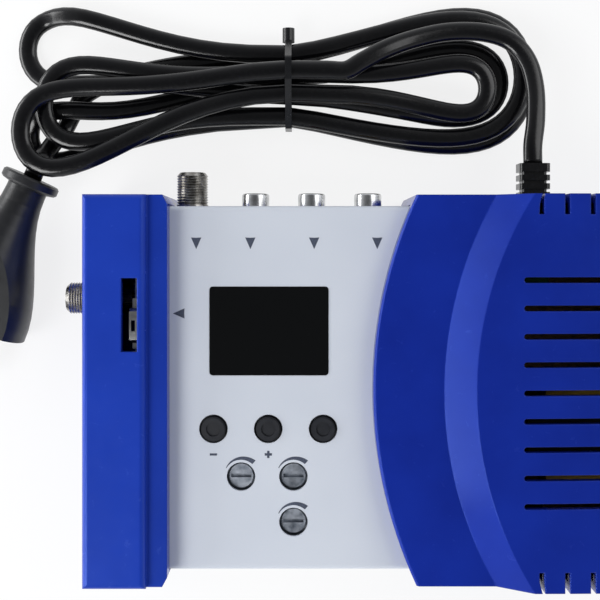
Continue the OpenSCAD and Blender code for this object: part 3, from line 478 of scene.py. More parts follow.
def cast_acrylic(name, colour, dust):
    """Smoked acrylic, cast and polished: deep black gloss with a breath of dust."""
    material, tree, place = begin(name)
    specks = add(tree, "TexNoise", {
        "Scale": per_mm(1.4), "Detail": 5.0, "Roughness": 0.7}, place)
    return end(material, tree, colour, ((dust, specks, 0.64, 0.82, 0.5),), None, {"IOR": 1.49},
               (specks, 0.3, 0.8, 0.05, 0.14))


def laminate_board(name, colour, copper, weave=0.7):
    """Glass cloth board under a lacquer: copper tracks show through, over a woven ground."""
    material, tree, place = begin(name)
    cloth, across = (add(tree, "TexWave", {
        "Scale": per_mm(weave) / WAVE_SHARE, "Distortion": 0.3, "bands_direction": way}, place)
        for way in "XY")
    woven = add(tree, "Math", {"operation": "MULTIPLY"}, {
        0: cloth.outputs["Fac"], 1: across.outputs["Fac"]})
    routes = add(tree, "TexVoronoi", {
        "distance": "MANHATTAN", "feature": "F1", "Scale": per_mm(3.4)}, place)
    track = add(tree, "Math", {"operation": "GREATER_THAN", 1: 0.52}, {
        0: routes.outputs["Distance"]})
    lift = add(tree, "Math", {"operation": "ADD"}, {0: woven, 1: track})
    return end(material, tree, colour, ((copper, track),), (0.4, 0.03, {"Height": lift}),
               {"Roughness": 0.32, "IOR": 1.55})


def stacked_iron(name, colour, edge, rust, sheet=0.5):
    """Silicon steel stampings, stacked and varnished: a dark line between each pair of sheets."""
    material, tree, place = begin(name)
    lines = add(tree, "TexWave", {
        "Scale": per_mm(sheet) / WAVE_SHARE, "bands_direction": "Z", "Distortion": 0.1},
        place).outputs["Fac"]
    bloom = add(tree, "TexNoise", {"Scale": per_mm(5), "Detail": 5.0}, place)
    return end(material, tree, edge, ((colour, lines), (rust, bloom, 0.5, 0.8, 0.5)),
               (0.6, 0.05, {"Height": lines}), {"Metallic": 0.6, "Roughness": 0.5})


def wound_tape(name, colour, overlap, half_turn=9.0):
    """Polyester tape wound round a coil: glossy, with a darker step at each overlap."""
    material, tree, place = begin(name)
    steps = add(tree, "TexWave", {
        "Scale": per_mm(half_turn) / WAVE_SHARE, "wave_profile": "SAW", "bands_direction": "Y",
        "Distortion": 0.2}, place)
    crease = add(tree, "TexNoise", {"Scale": per_mm(2), "Detail": 3.0}, place)
    return end(material, tree, colour, ((overlap, steps.outputs["Fac"], 0.85, 1.0, 1.0),),
               (0.4, 0.08, {"Height": crease}), {"Roughness": 0.22, "IOR": 1.6})


def shrunk_sleeve(name, colour, stripe):
    """Vinyl sleeve shrunk on a can: semi-gloss, with a paler stripe down one side."""
    material, tree, place = begin(name)
    band = add(tree, "TexWave", {
        "Scale": per_mm(16) / WAVE_SHARE, "bands_direction": "X"}, place)
    crease = add(tree, "TexNoise", {"Scale": per_mm(3), "Detail": 3.0}, place)
    return end(material, tree, colour, ((stripe, band.outputs["Fac"], 0.93, 0.96, 1.0),),
               (0.3, 0.05, {"Height": crease}), {"Roughness": 0.3, "IOR": 1.5})


def drawn_glass(name, colour):
    """Glass tube drawn thin: clear, with faint draw lines along it."""
    material, tree, place = begin(name)
    drawn = add(tree, "Mapping", {"Scale": (per_mm(12), per_mm(0.3), per_mm(0.3))}, place)
    streak = add(tree, "TexNoise", {"Scale": 1.0, "Detail": 2.0}, {"Vector": drawn})
    return end(material, tree, colour, (), None, {
        "Base Color": linear(colour), "IOR": 1.52, "Transmission Weight": 0.85},
        (streak, 0.3, 0.7, 0.02, 0.12))


def extruded_vinyl(name, colour, bloom, gloss=(0.26, 0.4)):
    """Soft vinyl drawn through a die: glossy, rippled where the cores press, with pale bloom."""
    material, tree, place = begin(name)
    dust = add(tree, "TexNoise", {"Scale": per_mm(1.1), "Detail": 6.0, "Roughness": 0.7}, place)
    ripple = add(tree, "TexNoise", {"Scale": per_mm(5.5), "Detail": 2.0}, place)
    return end(material, tree, colour, ((bloom, dust, 0.55, 0.8, 0.35),),
               (0.5, 0.02, {"Height": ripple}), {"IOR": 1.52}, (dust, 0.35, 0.7, *gloss))


def screen_ink(name, colour, worn):
    """Epoxy ink pushed through a mesh: flat, with the mesh's unevenness at the film's face."""
    material, tree, place = begin(name)
    # Real mesh is several times finer. It is drawn as coarse as it needs to be to show.
    mesh = add(tree, "TexNoise", {"Scale": per_mm(0.18), "Detail": 2.0}, place)
    return end(material, tree, colour, ((worn, mesh, 0.45, 0.75, 1.0),), None, {"IOR": 1.5},
               (mesh, 0.0, 1.0, 0.45, 0.65))


# Plain mouldings by slot: name, colour, cloudier colour and scuffs. Straight from the mould they
# are satin, with a soft reflection on a fine grain, and rub paler where they are handled.
MOULDINGS = {
    "display_moulding": ("black polycarbonate, moulded", "0D0E10", "121316", "2A2B2E"),
    "switch_moulding": ("black nylon, moulded", "15161A", "1B1C20", "303238"),
    "white_spacers": ("white nylon, moulded", "E4E2DA", "D8D5CB", "C4C0B4"),
    "connector_white": ("white polyethylene, moulded", "E9E8E3", "DEDCD4", "CFCBC0"),
    "block_black": ("black PBT, moulded", "121316", "191A1E", "2D2E33"),
    "insert_yellow": ("yellow polypropylene, moulded", "D9A90F", "C99A0C", "E3C55E"),
    "insert_red": ("red polypropylene, moulded", "B3171B", "A01316", "C9585A"),
    "rocker_black": ("black nylon key, moulded", "101114", "17181C", "2C2E34"),
    "terminal_green": ("green polyamide, moulded", "1F7A3E", "1A6E37", "5F9B72"),
    "tie_black": ("black nylon tie, moulded", "0E0F11", "141519", "2A2C31"),
}


def make_finishes():
    """One material for each slot of the record, one for the blue in painted shade, one for the ink.
    """
    tints = bpy.context.scene.modulator_finish
    made = {slot: moulded_plastic(name, colour, shade, wear=wear)
            for slot, (name, colour, shade, wear) in MOULDINGS.items()}
    made.update({
        # Polished ABS: even gloss that takes a long soft highlight, with faint scuffs on the flats.
        "blue_moulding": moulded_plastic(
            "blue ABS, moulded", tints.blue, "1C3AA6", gloss=(0.2, 0.3), edge=0.6,
            tint="8FAEFF"),
        # Painted shade: the right housing is the same blue ABS as the left cap, painted a little
        # darker.
        "blue_housing_shaded": moulded_plastic(
            "blue ABS, moulded, deeper", tints.housing, "142B92", gloss=(0.2, 0.3), edge=0.6,
            wear="3F4FA4", tint="7C9FFF"),
        # Sprayed silver: pale, satin, with a fine sparkle.
        "panel_paint": painted_steel("steel, sprayed silver", tints.panel, "D2D7E0", "A9B2C4"),
        # Rolled tinplate: an even grey mirror, broken a little by its crystals.
        "tinned_sheet": rolled_metal(
            "tinplate, rolled", "BFC4C9", "B3B8BE", spangle=2.4, rough=(0.32, 0.4)),
        # Zinc plated screws and posts: brighter than the sheet and slightly blue.
        "steel_fixings": turned_metal("steel, turned and zinc plated", "BFC4CC", "8E939C", 2),
        # Polished acrylic: black, with a sharp reflection.
        "window_lens": cast_acrylic("smoked acrylic, polished", "040506", "141517"),
        # Lacquered glass cloth: glossy green, with paler tracks.
        "board_green": laminate_board("glass cloth board, green lacquer", "123F22", "2C6B3A"),
        # Silicone keys: matt, with a slight grey bloom in the dish.
        "button_black": moulded_plastic(
            "black rubber, pressed", "111319", "1A1D25", gloss=(0.36, 0.52), wear="4A4F5C"),
        # Stamped nickel silver: grey and slightly mottled.
        "trimmer_metal": rolled_metal("nickel silver, stamped", "8F959E", "6F757F", spangle=1.6),
        # Turned nickel silver: soft grey rings of light round the slot.
        "rotor_metal": turned_metal(
            "nickel silver rotor, turned", "B4BAC4", "6C7480", 2, rough=(0.3, 0.5)),
        # Moulding epoxy: dull black.
        "chip_epoxy": moulded_plastic(
            "black epoxy, transfer moulded", "17181A", "1E1F22", gloss=(0.45, 0.6),
            wear="2C2D30"),
        # Shrunk vinyl: dark and semi-gloss, with one pale stripe.
        "capacitor_sleeve": shrunk_sleeve("vinyl sleeve, shrunk", "10151C", "B9BDC4"),
        # Nickel on brass: warm grey, with dirt in the threads.
        "nickel_turned": turned_metal("brass, turned and nickel plated", "B4B2AE", "6E6A64", 1),
        # The phono shells are brighter: smooth nickel that mirrors the room.
        "nickel_bright": turned_metal(
            "steel, drawn and nickel plated", "D6D7D8", "B2B3B4", 1, rough=(0.14, 0.26)),
        # Pressed paper under lacquer: brown, with paler tracks in a coarser weave.
        "board_brown": laminate_board("paper board, brown", "6B4A2A", "8A6238", weave=1.4),
        # Stampings seen on edge: fine dark lines, stained with rust.
        "core_iron": stacked_iron(
            "silicon steel, stacked and varnished", "5D6066", "1E1F22", "4A372C"),
        # Polyester tape: amber and glossy.
        "coil_tape": wound_tape("polyester tape, wound", "C9A23A", "9A7824"),
        # Soda glass: clear, with a faint green in it.
        "fuse_glass": drawn_glass("soda glass, drawn", "E6EDEA"),
        # Anodised aluminium: deep satin black that still glints as metal.
        "black_aluminium": rolled_metal(
            "aluminium, black anodised", "17181B", "24262A", spangle=2.0, rough=(0.4, 0.55)),
        # Hook-up wire: soft, glossy, a little paler where dust settles.
        "wire_brown": extruded_vinyl("brown vinyl, extruded", "5A3018", "7A5238"),
        "wire_red": extruded_vinyl("red vinyl, extruded", "A8161A", "C24A4C"),
        # Soft glossy vinyl: narrow highlights along each run, faint ripple from the cores inside.
        "cord_black": extruded_vinyl(
            "black vinyl, extruded", tints.cord, "101216", gloss=(0.15, 0.25)),
        # Soft vinyl moulded round the pins: satin rather than glossy.
        "plug_black": moulded_plastic(
            "black vinyl, moulded", "0F1013", "16181C", gloss=(0.34, 0.46), grain=0.5,
            relief=0.015, wear="34373E"),
        # Drawn brass: yellow, with fine lines along the pin.
        "pin_brass": turned_metal("brass, drawn", "C9A85C", "8F7434", 1),
        # Epoxy ink: flat, dark and slightly blue, uneven where the mesh lifted.
        "panel_ink": screen_ink("epoxy ink, screen printed", tints.ink, "525B70"),
    })
    return made


finishes = {}


# The cord's route in the case's millimetres, as the solids have it


def ease(t):
    """A smooth step from 0 to 1."""
    u = min(1.0, max(0.0, t))
    return u * u * (3 - 2 * u)


# Height of the flat cord, and the pitch of its levels and of its columns at the tie
CORD_T = 3.6
LEVEL_PITCH = 4.4
COLUMN_PITCH = 6.5
COLUMN_SHARES = (1.5, 0.5, -0.5, -1.5)
# Middle of the tie, the passes' rise inside it, the reach of that rise, and their straight stretch
WAIST = (-31.8, 91.8)
WAIST_LIFT = 1.3
LIFT_REACH = 28.0
STRAIGHT = 12.0
# Where the two plain runs meet the first and the last pass
JOIN = 17.8
# Column and level of each pass through the tie
PASSES = ((0, 0), (3, 0), (1, 0), (2, 1), (0, 1), (3, 1), (1, 2), (2, 2.3), (1, 3.2))
# Reach, offset and half width of each loop, then its flare and roundness
LOBE_SIZES = ((76, 2.8, 19), (-82, -16, 7.5), (67.5, 1.6, 10.8), (-83.5, 12, 10.5),
              (74, 2.8, 17), (-76, -6.5, 11.5), (62, -1.5, 7.6), (-82, -15.5, 11.8))
LOBE_SHARES = ((1.2, 0.85), (2, 0.5), (1.2, 0.7), (2, 0.75),
               (1.2, 0.85), (2, 0.75), (1.2, 0.45), (2, 0.8))
# Levels of each loop at seven stations
LOBE_LEVELS = ((0,) * 7, (0, 0, 0, 0.6, 1.1, 1.15, 0.58), (0, 0, 0, 0, 0, 0, 1),
               (1.44, 1.28, 0.15, 0, 0, 1, 1), (1,) * 7, (2.1, 2.2, 2.2, 2.2, 2.2, 2.3, 2.4),
               (2,) * 7, (3.4, 3.4, 3.4, 3.3, 3.3, 3.3, 3.4))
# Points of the runs to the plug and from the strain relief
PLUG_RUN = ((-111.5, 62.5, 11), (-110, 65.8, 11), (-108.8, 68.4, 10.5), (-107.4, 71.3, 7.7),
            (-105.6, 74.5, 5.7), (-103.5, 78.3, 2.3), (-100.4, 84.3, 1.8), (-96.4, 89.9, 1.8),
            (-85.5, 95, 1.8), (-70, 98.7, 1.8))
EXIT_RUN = ((-9, 97.9, 15.9), (-2, 101.7, 15), (7, 105.2, 13.2), (18, 107.6, 12.2),
            (29, 107.4, 12.2), (37, 104.6, 12.6), (42, 98.6, 13.4), (44, 90, 15), (43.8, 80, 17),
            (42.7, 72, 18), (42.7, 66.2, 18))
# Distance between the runs' points in millimetres, and the least between any two in metres
RUN_STEP = 1.6
CORD_GAP = 0.0004


def level_z(level, x):
    """Height of a pass or loop's middle, a little higher inside the tie."""
    return CORD_T / 2 + LEVEL_PITCH * level + WAIST_LIFT * (1 - ease(abs(x) / LIFT_REACH))


def pass_y(i):
    """Offset of a pass from the middle of the tie."""
    return COLUMN_SHARES[PASSES[i][0]] * COLUMN_PITCH


def at_station(values, u):
    """Eases between the values of a loop's stations."""
    n = len(values) - 1
    k = min(n - 1, int(u * n))
    return values[k] + (values[k + 1] - values[k]) * ease(u * n - k)


def waist_end(i, x):
    """A point of a pass beside the tie."""
    return (WAIST[0] + x, WAIST[1] + pass_y(i), level_z(PASSES[i][1], x))


def lobe_point(i, u):
    """A point of a loop, from one pass to the next."""
    reach, mid, half = LOBE_SIZES[i]
    flare, blunt = LOBE_SHARES[i]
    s = max(0.0, math.sin(math.pi * u))
    spread = s ** blunt
    x = reach * spread
    peak = (flare / (1 + flare)) ** (flare / 2) / math.sqrt(1 + flare)
    own = pass_y(i if u < 0.5 else i + 1)
    levels = (PASSES[i][1],) + LOBE_LEVELS[i] + (PASSES[i + 1][1],)
    swing = math.copysign(half, reach) * s ** flare * math.cos(math.pi * u) / peak
    y = own * (1 - ease(spread)) + mid * ease(spread) + swing
    return (WAIST[0] + x, WAIST[1] + y, level_z(at_station(levels, u), x))


def smooth(points):
    """A smooth curve through points, with a point about every step."""
    points = [Vector(p) for p in points]
    held = [2 * points[0] - points[1]] + points + [2 * points[-1] - points[-2]]
    out = []
    for a, b, c, d in zip(held, held[1:], held[2:], held[3:]):
        count = max(1, round((c - b).length / RUN_STEP))
        for k in range(count):
            t = k / count
            square = (2 * a - 5 * b + 4 * c - d) * t * t
            cube = (3 * b - 3 * c + d - a) * t ** 3
            out.append(0.5 * (2 * b + (c - a) * t + square + cube))
    return out + [points[-1]]


def cord_route(rings):
    """The whole cord's centreline from strain relief to plug, in metres."""
    loops, last = len(LOBE_SIZES), len(PASSES) - 1
    line = smooth(list(PLUG_RUN) + [waist_end(0, -JOIN), waist_end(0, -STRAIGHT)])
    for i in range(loops):
        line += [Vector(lobe_point(i, k / rings)) for k in range(rings)]
    line.append(Vector(lobe_point(loops - 1, 1.0)))
    line += smooth([waist_end(last, STRAIGHT), waist_end(last, JOIN)] + list(EXIT_RUN))
    line = [at(p) for p in reversed(line)]
    kept = [line[0]]
    for point in line[1:]:
        if (point - kept[-1]).length > CORD_GAP:
            kept.append(point)
    return kept


# Camera, finishes and pieces, in the order in which they are made


class MODULATOR_OT_camera(bpy.types.Operator):
    """Makes the camera that looks straight down on the panel."""

    bl_idname = "modulator.camera"
    bl_label = "Camera"

    def execute(self, context):
        stage = context.scene.modulator_stage
        put_down()
        bpy.ops.object.camera_add(
            location=(stage.look[0], stage.look[1], stage.height), rotation=(0, 0, 0))
        camera = context.object
        camera.name = "camera"
        camera.data.sensor_width = 36.0
        camera.data.lens = stage.lens
        camera.data.shift_y = -VIEW_RISE / PHOTO_SIDE
        camera.data.clip_start = 0.01
        context.scene.camera = camera
        return {"FINISHED"}


class MODULATOR_OT_finishes(bpy.types.Operator):
    """Gives every solid of the frame the material of its slot."""

    bl_idname = "modulator.finishes"
    bl_label = "Finishes"

    def execute(self, context):
        finishes.update(make_finishes())
        for row in frame["record"]["subparts"]:
            mesh = frame["nodes"][row["node"]].data
            # The right housing takes the cap's blue darkened as painted shade.
            painted_shade = row["node"] in ("housing_upper", "housing_lower")
            material = finishes["blue_housing_shaded" if painted_shade else row["material_slot"]]
            if not mesh.materials:
                mesh.materials.append(material)
            for i in range(len(mesh.materials)):
                mesh.materials[i] = material
        return {"FINISHED"}


# Powers that square the cord's round section off, across and up
SQUARED = (0.8, 0.9)
# The section takes a new side only where this much of the cord's heading lies flat.
FLAT_SHARE = 0.05


class MODULATOR_OT_cord(bpy.types.Operator):
    """Draws the flat mains cord as one smooth tube along its folded route."""

    bl_idname = "modulator.cord"
    bl_label = "Mains cord"

    def execute(self, context):
        sizes = context.scene.modulator_cord
        line = cord_route(sizes.rings)
        half_w, half_t = sizes.width / 2, sizes.thickness / 2
        shape = bmesh.new()
        rings = []
        side = None
        for i, point in enumerate(line):
            ahead = line[min(i + 1, len(line) - 1)] - line[max(i - 1, 0)]
            ahead.normalize()
            flat = Vector((ahead.y, -ahead.x, 0))
            side = flat.normalized() if flat.length > FLAT_SHARE else side
            up = side.cross(ahead).normalized()
            ring = []
            for k in range(sizes.sides):
                turn = 2 * math.pi * k / sizes.sides
                c, s = math.cos(turn), math.sin(turn)
                wide = math.copysign(abs(c) ** SQUARED[0], c) * half_w
                tall = math.copysign(abs(s) ** SQUARED[1], s) * half_t
                ring.append(shape.verts.new(point + side * wide + up * tall))
            rings.append(ring)
        for one, other in zip(rings, rings[1:]):
            for k in range(sizes.sides):
                n = (k + 1) % sizes.sides
                face = shape.faces.new((one[k], one[n], other[n], other[k]))
                face.smooth = True
        shape.faces.new(rings[0][::-1])
        shape.faces.new(rings[-1])
        bmesh.ops.recalc_face_normals(shape, faces=shape.faces)
        mesh = bpy.data.meshes.new("mains_cord")
        shape.to_mesh(mesh)
        shape.free()
        piece = bpy.data.objects.new("mains_cord", mesh)
        context.scene.collection.objects.link(piece)
        dress(piece, finishes["cord_black"])
        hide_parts("cord_exit_run", "cord_hank", "cord_plug_run")
        return {"FINISHED"}


class MODULATOR_OT_sweep(bpy.types.Operator):
    """Redraws the right housing with its swept slope straighter and wider than its solid."""

    bl_idname = "modulator.sweep"
    bl_label = "Swept housing"

    def execute(self, context):
        sizes = context.scene.modulator_sweep
        node = frame["nodes"]["housing_upper"]
        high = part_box("housing_upper")[1]
        piece = node.copy()
        piece.data = node.data.copy()
        piece.parent = None
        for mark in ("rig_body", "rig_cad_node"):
            del piece[mark]
        context.scene.collection.objects.link(piece)
        piece.name = "housing_swept"
        take_up(piece)
        if piece.data.has_custom_normals:
            bpy.ops.mesh.customdata_custom_splitnormals_clear()
        # The copy's loose triangles are merged before any of them moves.
        edit_all()
        bpy.ops.mesh.remove_doubles(threshold=2e-6)
        axis_x = high.x + sizes.past
        crest = sizes.foot - sizes.rise
        band = high.z - sizes.rise
        shape = bmesh.from_edit_mesh(piece.data)
        for vert in shape.verts:
            x, y, z = vert.co
            beside = y - SHIFT_Y * MM
            radius = math.hypot(axis_x - x, beside)
            on_slope = radius >= crest - NEAR
            lowest = band - (NEAR if on_slope else sizes.rise / 2)
            if radius > sizes.foot + NEAR or z < lowest:
                continue
            if on_slope:
                share = min(1.0, max(0.0, (z - band) / sizes.rise))
                hollow = sizes.rise * math.sqrt(max(0.0, 1 - (1 - share) ** 2))
                move = hollow - (sizes.rise + sizes.wider) * share
            else:
                move = -sizes.wider * (1 - ease((crest - radius) / sizes.fade))
            if move:
                vert.co.x = axis_x - math.sqrt((radius + move) ** 2 - beside ** 2)
        bmesh.update_edit_mesh(piece.data)
        bpy.ops.object.mode_set(mode="OBJECT")
        bpy.ops.object.shade_smooth_by_angle(angle=math.radians(24))
        # The swept housing keeps the blue darkened as painted shade.
        dress(piece, finishes["blue_housing_shaded"])
        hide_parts("housing_upper")
        return {"FINISHED"}


class MODULATOR_OT_threads(bpy.types.Operator):
    """Turns the two threaded coaxial barrels."""

    bl_idname = "modulator.threads"
    bl_label = "Threaded barrels"

    def execute(self, context):
        sizes = context.scene.modulator_threads
        for node, axis, outward, run in (
                ("rf_in_barrel", 1, 1, sizes.in_run), ("rf_out_barrel", 0, -1, sizes.out_run)):
            low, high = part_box(node)
            middle = (low + high) / 2
            radius = (high.z - low.z) / 2
            tip = high[axis] if outward > 0 else low[axis]
            piece = add_rod(node + "_threaded", middle, radius, high[axis] - low[axis], axis)
            bpy.ops.object.mode_set(mode="EDIT")
            open_bore(piece, axis, radius - sizes.bore)
            # The free part of the outside is cut into rings at every half turn.
            halves = range(2 * int(run / sizes.pitch) + 1)
            cuts = [tip - outward * (sizes.chamfer + half / 2 * sizes.pitch) for half in halves]
            for cut in cuts:
                cut_across(axis, cut)
            # Every second ring is drawn in to a valley, and the tip to its bevel.
            for rings, depth in ((cuts[1::2], sizes.depth), ([tip], sizes.bevel)):
                pick(piece, lambda v: off_axis(v.co, middle, axis) > radius * OUTSIDE
                     and any(abs(v.co[axis] - ring) < NEAR for ring in rings))
                draw_in(1 - depth / radius, axis, middle)
            close_up(smooth_under=28)
            dress(piece, finishes["nickel_turned"])
            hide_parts(node)
        return {"FINISHED"}


class MODULATOR_OT_phono(bpy.types.Operator):
    """Turns the three phono jacks' shells, each a closed ring with a rolled rim and a shoulder."""

    bl_idname = "modulator.phono"
    bl_label = "Phono shells"

    def execute(self, context):
        sizes = context.scene.modulator_phono
        low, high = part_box("rca_shells")
        radius = (high.z - low.z) / 2
        spots = [middle_of("rca_insert_" + colour).x for colour in ("white", "red", "yellow")]
        centre = Vector((spots[0], (low.y + high.y) / 2, (low.z + high.z) / 2))
        piece = add_rod("phono_shell", centre, radius, high.y - low.y, 1)
        bpy.ops.object.mode_set(mode="EDIT")
        open_bore(piece, 1, radius - sizes.bore)

        def outside(vert):
            return off_axis(vert.co, centre, 1) > radius * OUTSIDE

        # A shallow step is drawn in at the panel, and the rim is rolled over.
        step = high.y - sizes.step
        cut_across(1, step)
        pick(piece, lambda v: outside(v) and v.co.y < step - NEAR)
        draw_in(sizes.waist, 1, centre)
        pick(piece, lambda e: all(abs(v.co.y - high.y) < NEAR and outside(v) for v in e.verts),
             "edges")
        bpy.ops.mesh.bevel(offset=sizes.rim, segments=6, affect="EDGES")
        close_up(smooth_under=32)
        shells = [piece]
        for x in spots[1:]:
            shells.append(copy_to(piece, (x - spots[0], 0, 0), "phono_shell"))
        piece = join_all(shells, "phono_shells")
        dress(piece, finishes["nickel_bright"])
        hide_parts("rca_shells")
        return {"FINISHED"}


# The spring's side view, as distances towards the back and heights over the cover, in millimetres
SPRING_PATH = ((26.0, 0.0), (23.8, 0.0), (23.3, 5.2), (22.5, 6.0), (20.6, 6.2), (16.4, 6.2),
               (14.5, 6.0), (13.7, 5.2), (13.2, 0.0), (11.4, 0.0))
# The folds on both sides of its leaf, its place across the part, and its middle's height over
# the cover
SPRING_LEAF = (4, 5)
SPRING_X = -75.6
SPRING_LIFT = 0.2
# The points of the strip's last edge lie within this share of its width from its middle.
END_SHARE = 0.6


class MODULATOR_OT_spring(bpy.types.Operator):
    """Folds the earthing spring that stands on the cover and shows in the left cap's slot."""

    bl_idname = "modulator.spring"
    bl_label = "Earthing spring"

    def execute(self, context):
        sizes = context.scene.modulator_spring
        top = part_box("chassis_cover")[1].z / MM + SPRING_LIFT
        spots = [at((SPRING_X, y, top + z)) for y, z in SPRING_PATH]
        first = (spots[0] + spots[1]) / 2
        put_down()
        bpy.ops.mesh.primitive_plane_add(size=1, location=first)
        piece = fix_place(context.object, "earth_spring")
        edit_all()
        bpy.ops.transform.resize(
            value=(sizes.width, (spots[0] - spots[1]).length, 1), center_override=first)
        reach = sizes.width * END_SHARE
        for last, new in zip(spots[1:], spots[2:]):
            pick(piece, lambda e: all((v.co - last).length < reach for v in e.verts), "edges")
            bpy.ops.mesh.extrude_region_move(TRANSFORM_OT_translate={"value": new - last})
        # The leaf gets a window.
        leaf = (spots[SPRING_LEAF[0]] + spots[SPRING_LEAF[1]]) / 2
        pick(piece, lambda f: (f.calc_center_median() - leaf).length < 0.5 * MM, "faces")
        bpy.ops.mesh.inset(thickness=sizes.rim)
        bpy.ops.mesh.delete(type="FACE")
        close_up()
        wall = piece.modifiers.new("sheet", "SOLIDIFY")
        wall.thickness = sizes.sheet
        wall.offset = 0
        bpy.ops.object.modifier_apply(modifier=wall.name)
        bpy.ops.object.shade_smooth_by_angle(angle=math.radians(35))
        dress(piece, finishes["nickel_bright"])
        return {"FINISHED"}


# Places in the case's millimetres: arrows above the back connectors, and one beside the output's
ARROWS_X = (-58.3, -42.6, -24.1, -5.8)
ARROWS_Y = 42.5
ARROW_OUT = (-62.8, 21.6)
# Shares of an arrow: how much narrower it is than a plain triangle, and how deep its notch is
ARROW_NARROWER = 0.24
ARROW_NOTCH = 0.03
# An arc's two ends as angles, its sides to a full circle, and its thin end's share of its width
ARC_ENDS = (math.radians(150), math.radians(48))
ARC_SIDES = 120
ARC_THIN = 0.12
# A sign's distance from its button's middle in millimetres, and a bar's share of its width
SIGN_AWAY = 7.4
SIGN_BAR = 0.3


class MODULATOR_OT_print(bpy.types.Operator):
    """Prints the plain arrows, level arcs and signs on the panel."""

    bl_idname = "modulator.panel_print"
    bl_label = "Panel print"

    def arrow(self, name, centre, heading):
        """A solid arrow head, its back edge drawn in a little."""
        length = bpy.context.scene.modulator_print.arrow
        put_down()
        bpy.ops.mesh.primitive_circle_add(
            vertices=3, radius=length * 2 / 3, fill_type="NGON", location=centre,
            rotation=(0, 0, heading - math.pi / 2))
        piece = fix_place(bpy.context.object, name)
        way = Vector((math.cos(heading), math.sin(heading), 0))
        edit_all()
        narrow = [1 - ARROW_NARROWER * abs(way.y), 1 - ARROW_NARROWER * abs(way.x), 1]
        bpy.ops.transform.resize(value=narrow, center_override=centre)
        # The back edge gets a middle point, and that point moves forward.
        pick(piece, lambda e: all((v.co - centre).dot(way) < 0 for v in e.verts), "edges")
        bpy.ops.mesh.subdivide(number_cuts=1)
        pick(piece, lambda v: (v.co - centre).dot(way) < 0
             and abs((v.co - centre).cross(way).z) < length * 0.1)
        bpy.ops.transform.translate(value=way * length * ARROW_NOTCH)
        bpy.ops.object.mode_set(mode="OBJECT")
        return piece

    def arc(self, name, centre):
        """An arc round a trimmer that swells from its left end to its right end."""
        sizes = bpy.context.scene.modulator_print
        put_down()
        bpy.ops.mesh.primitive_circle_add(
            vertices=ARC_SIDES, radius=sizes.arc_radius, location=centre)
        piece = fix_place(bpy.context.object, name)
        first, last = ARC_ENDS
        slack = math.pi / ARC_SIDES / 2

        def angle(point):
            return math.atan2(point.y - centre.y, point.x - centre.x)

        bpy.ops.object.mode_set(mode="EDIT")
        pick(piece, lambda v: not last - slack <= angle(v.co) <= first + slack)
        bpy.ops.mesh.delete(type="VERT")
        bpy.ops.mesh.select_all(action="SELECT")
        bpy.ops.mesh.extrude_region_move()
        shape = bmesh.from_edit_mesh(piece.data)
        for vert in shape.verts:
            if vert.select:
                share = (first - angle(vert.co)) / (first - last)
                away = (vert.co - centre).normalized()
                vert.co += away * sizes.arc_width * (ARC_THIN + (1 - ARC_THIN) * share)
        bmesh.update_edit_mesh(piece.data)
        bpy.ops.object.mode_set(mode="OBJECT")
        return piece

    def sign(self, name, centre, plus):
        """A minus bar or a plus cross."""
        size = bpy.context.scene.modulator_print.sign
        put_down()
        bpy.ops.mesh.primitive_plane_add(size=size, location=centre)
        piece = fix_place(bpy.context.object, name)
        edit_all()
        if plus:
            # Of the square's nine faces, the four at its corners go.
            bpy.ops.mesh.subdivide(number_cuts=2)

            def off_arms(face):
                away = face.calc_center_median() - centre
                return min(abs(away.x), abs(away.y)) > size / 6

            pick(piece, off_arms, "faces")
            bpy.ops.mesh.delete(type="FACE")
        else:
            bpy.ops.transform.resize(value=(1, SIGN_BAR, 1), center_override=centre)
        bpy.ops.object.mode_set(mode="OBJECT")
        return piece

    def execute(self, context):
        sizes = context.scene.modulator_print
        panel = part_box("chassis_cover")[1].z + sizes.film
        marks = []
        arrows = [(f"arrow_{i}", x, ARROWS_Y, -math.pi / 2) for i, x in enumerate(ARROWS_X)]
        arrows.append(("arrow_out", *ARROW_OUT, math.pi))
        for name, x, y, heading in arrows:
            spot = at((x, y, 0))
            spot.z = panel
            marks.append(self.arrow(name, spot, heading))
        for name in ("left", "right", "level"):
            spot = middle_of("trimmer_" + name)
            spot.z = panel
            marks.append(self.arc("arc_" + name, spot))
        for name, plus in (("left", False), ("middle", True)):
            spot = middle_of("button_" + name)
            spot.y -= SIGN_AWAY * MM
            spot.z = panel
            marks.append(self.sign("sign_" + name, spot, plus))
        piece = join_all(marks, "panel_print")
        take_up(piece)
        edit_all()
        bpy.ops.mesh.extrude_region_move(TRANSFORM_OT_translate={"value": (0, 0, -sizes.film)})
        close_up()
        dress(piece, finishes["panel_ink"])
        return {"FINISHED"}


# Each lamp's place and size in metres, and the point that all of them are aimed at
LAMPS = {
    "key": ((-0.45, -0.3, 0.6), (0.35, 0.35)),
    "side": ((-0.62, 0.03, 0.16), (0.9, 0.25)),
    "fill": ((0.5, 0.3, 0.55), (0.5, 0.5)),
}
LAMP_AIM = Vector((0, 0.03, 0))
FLOOR_SIDE = 8


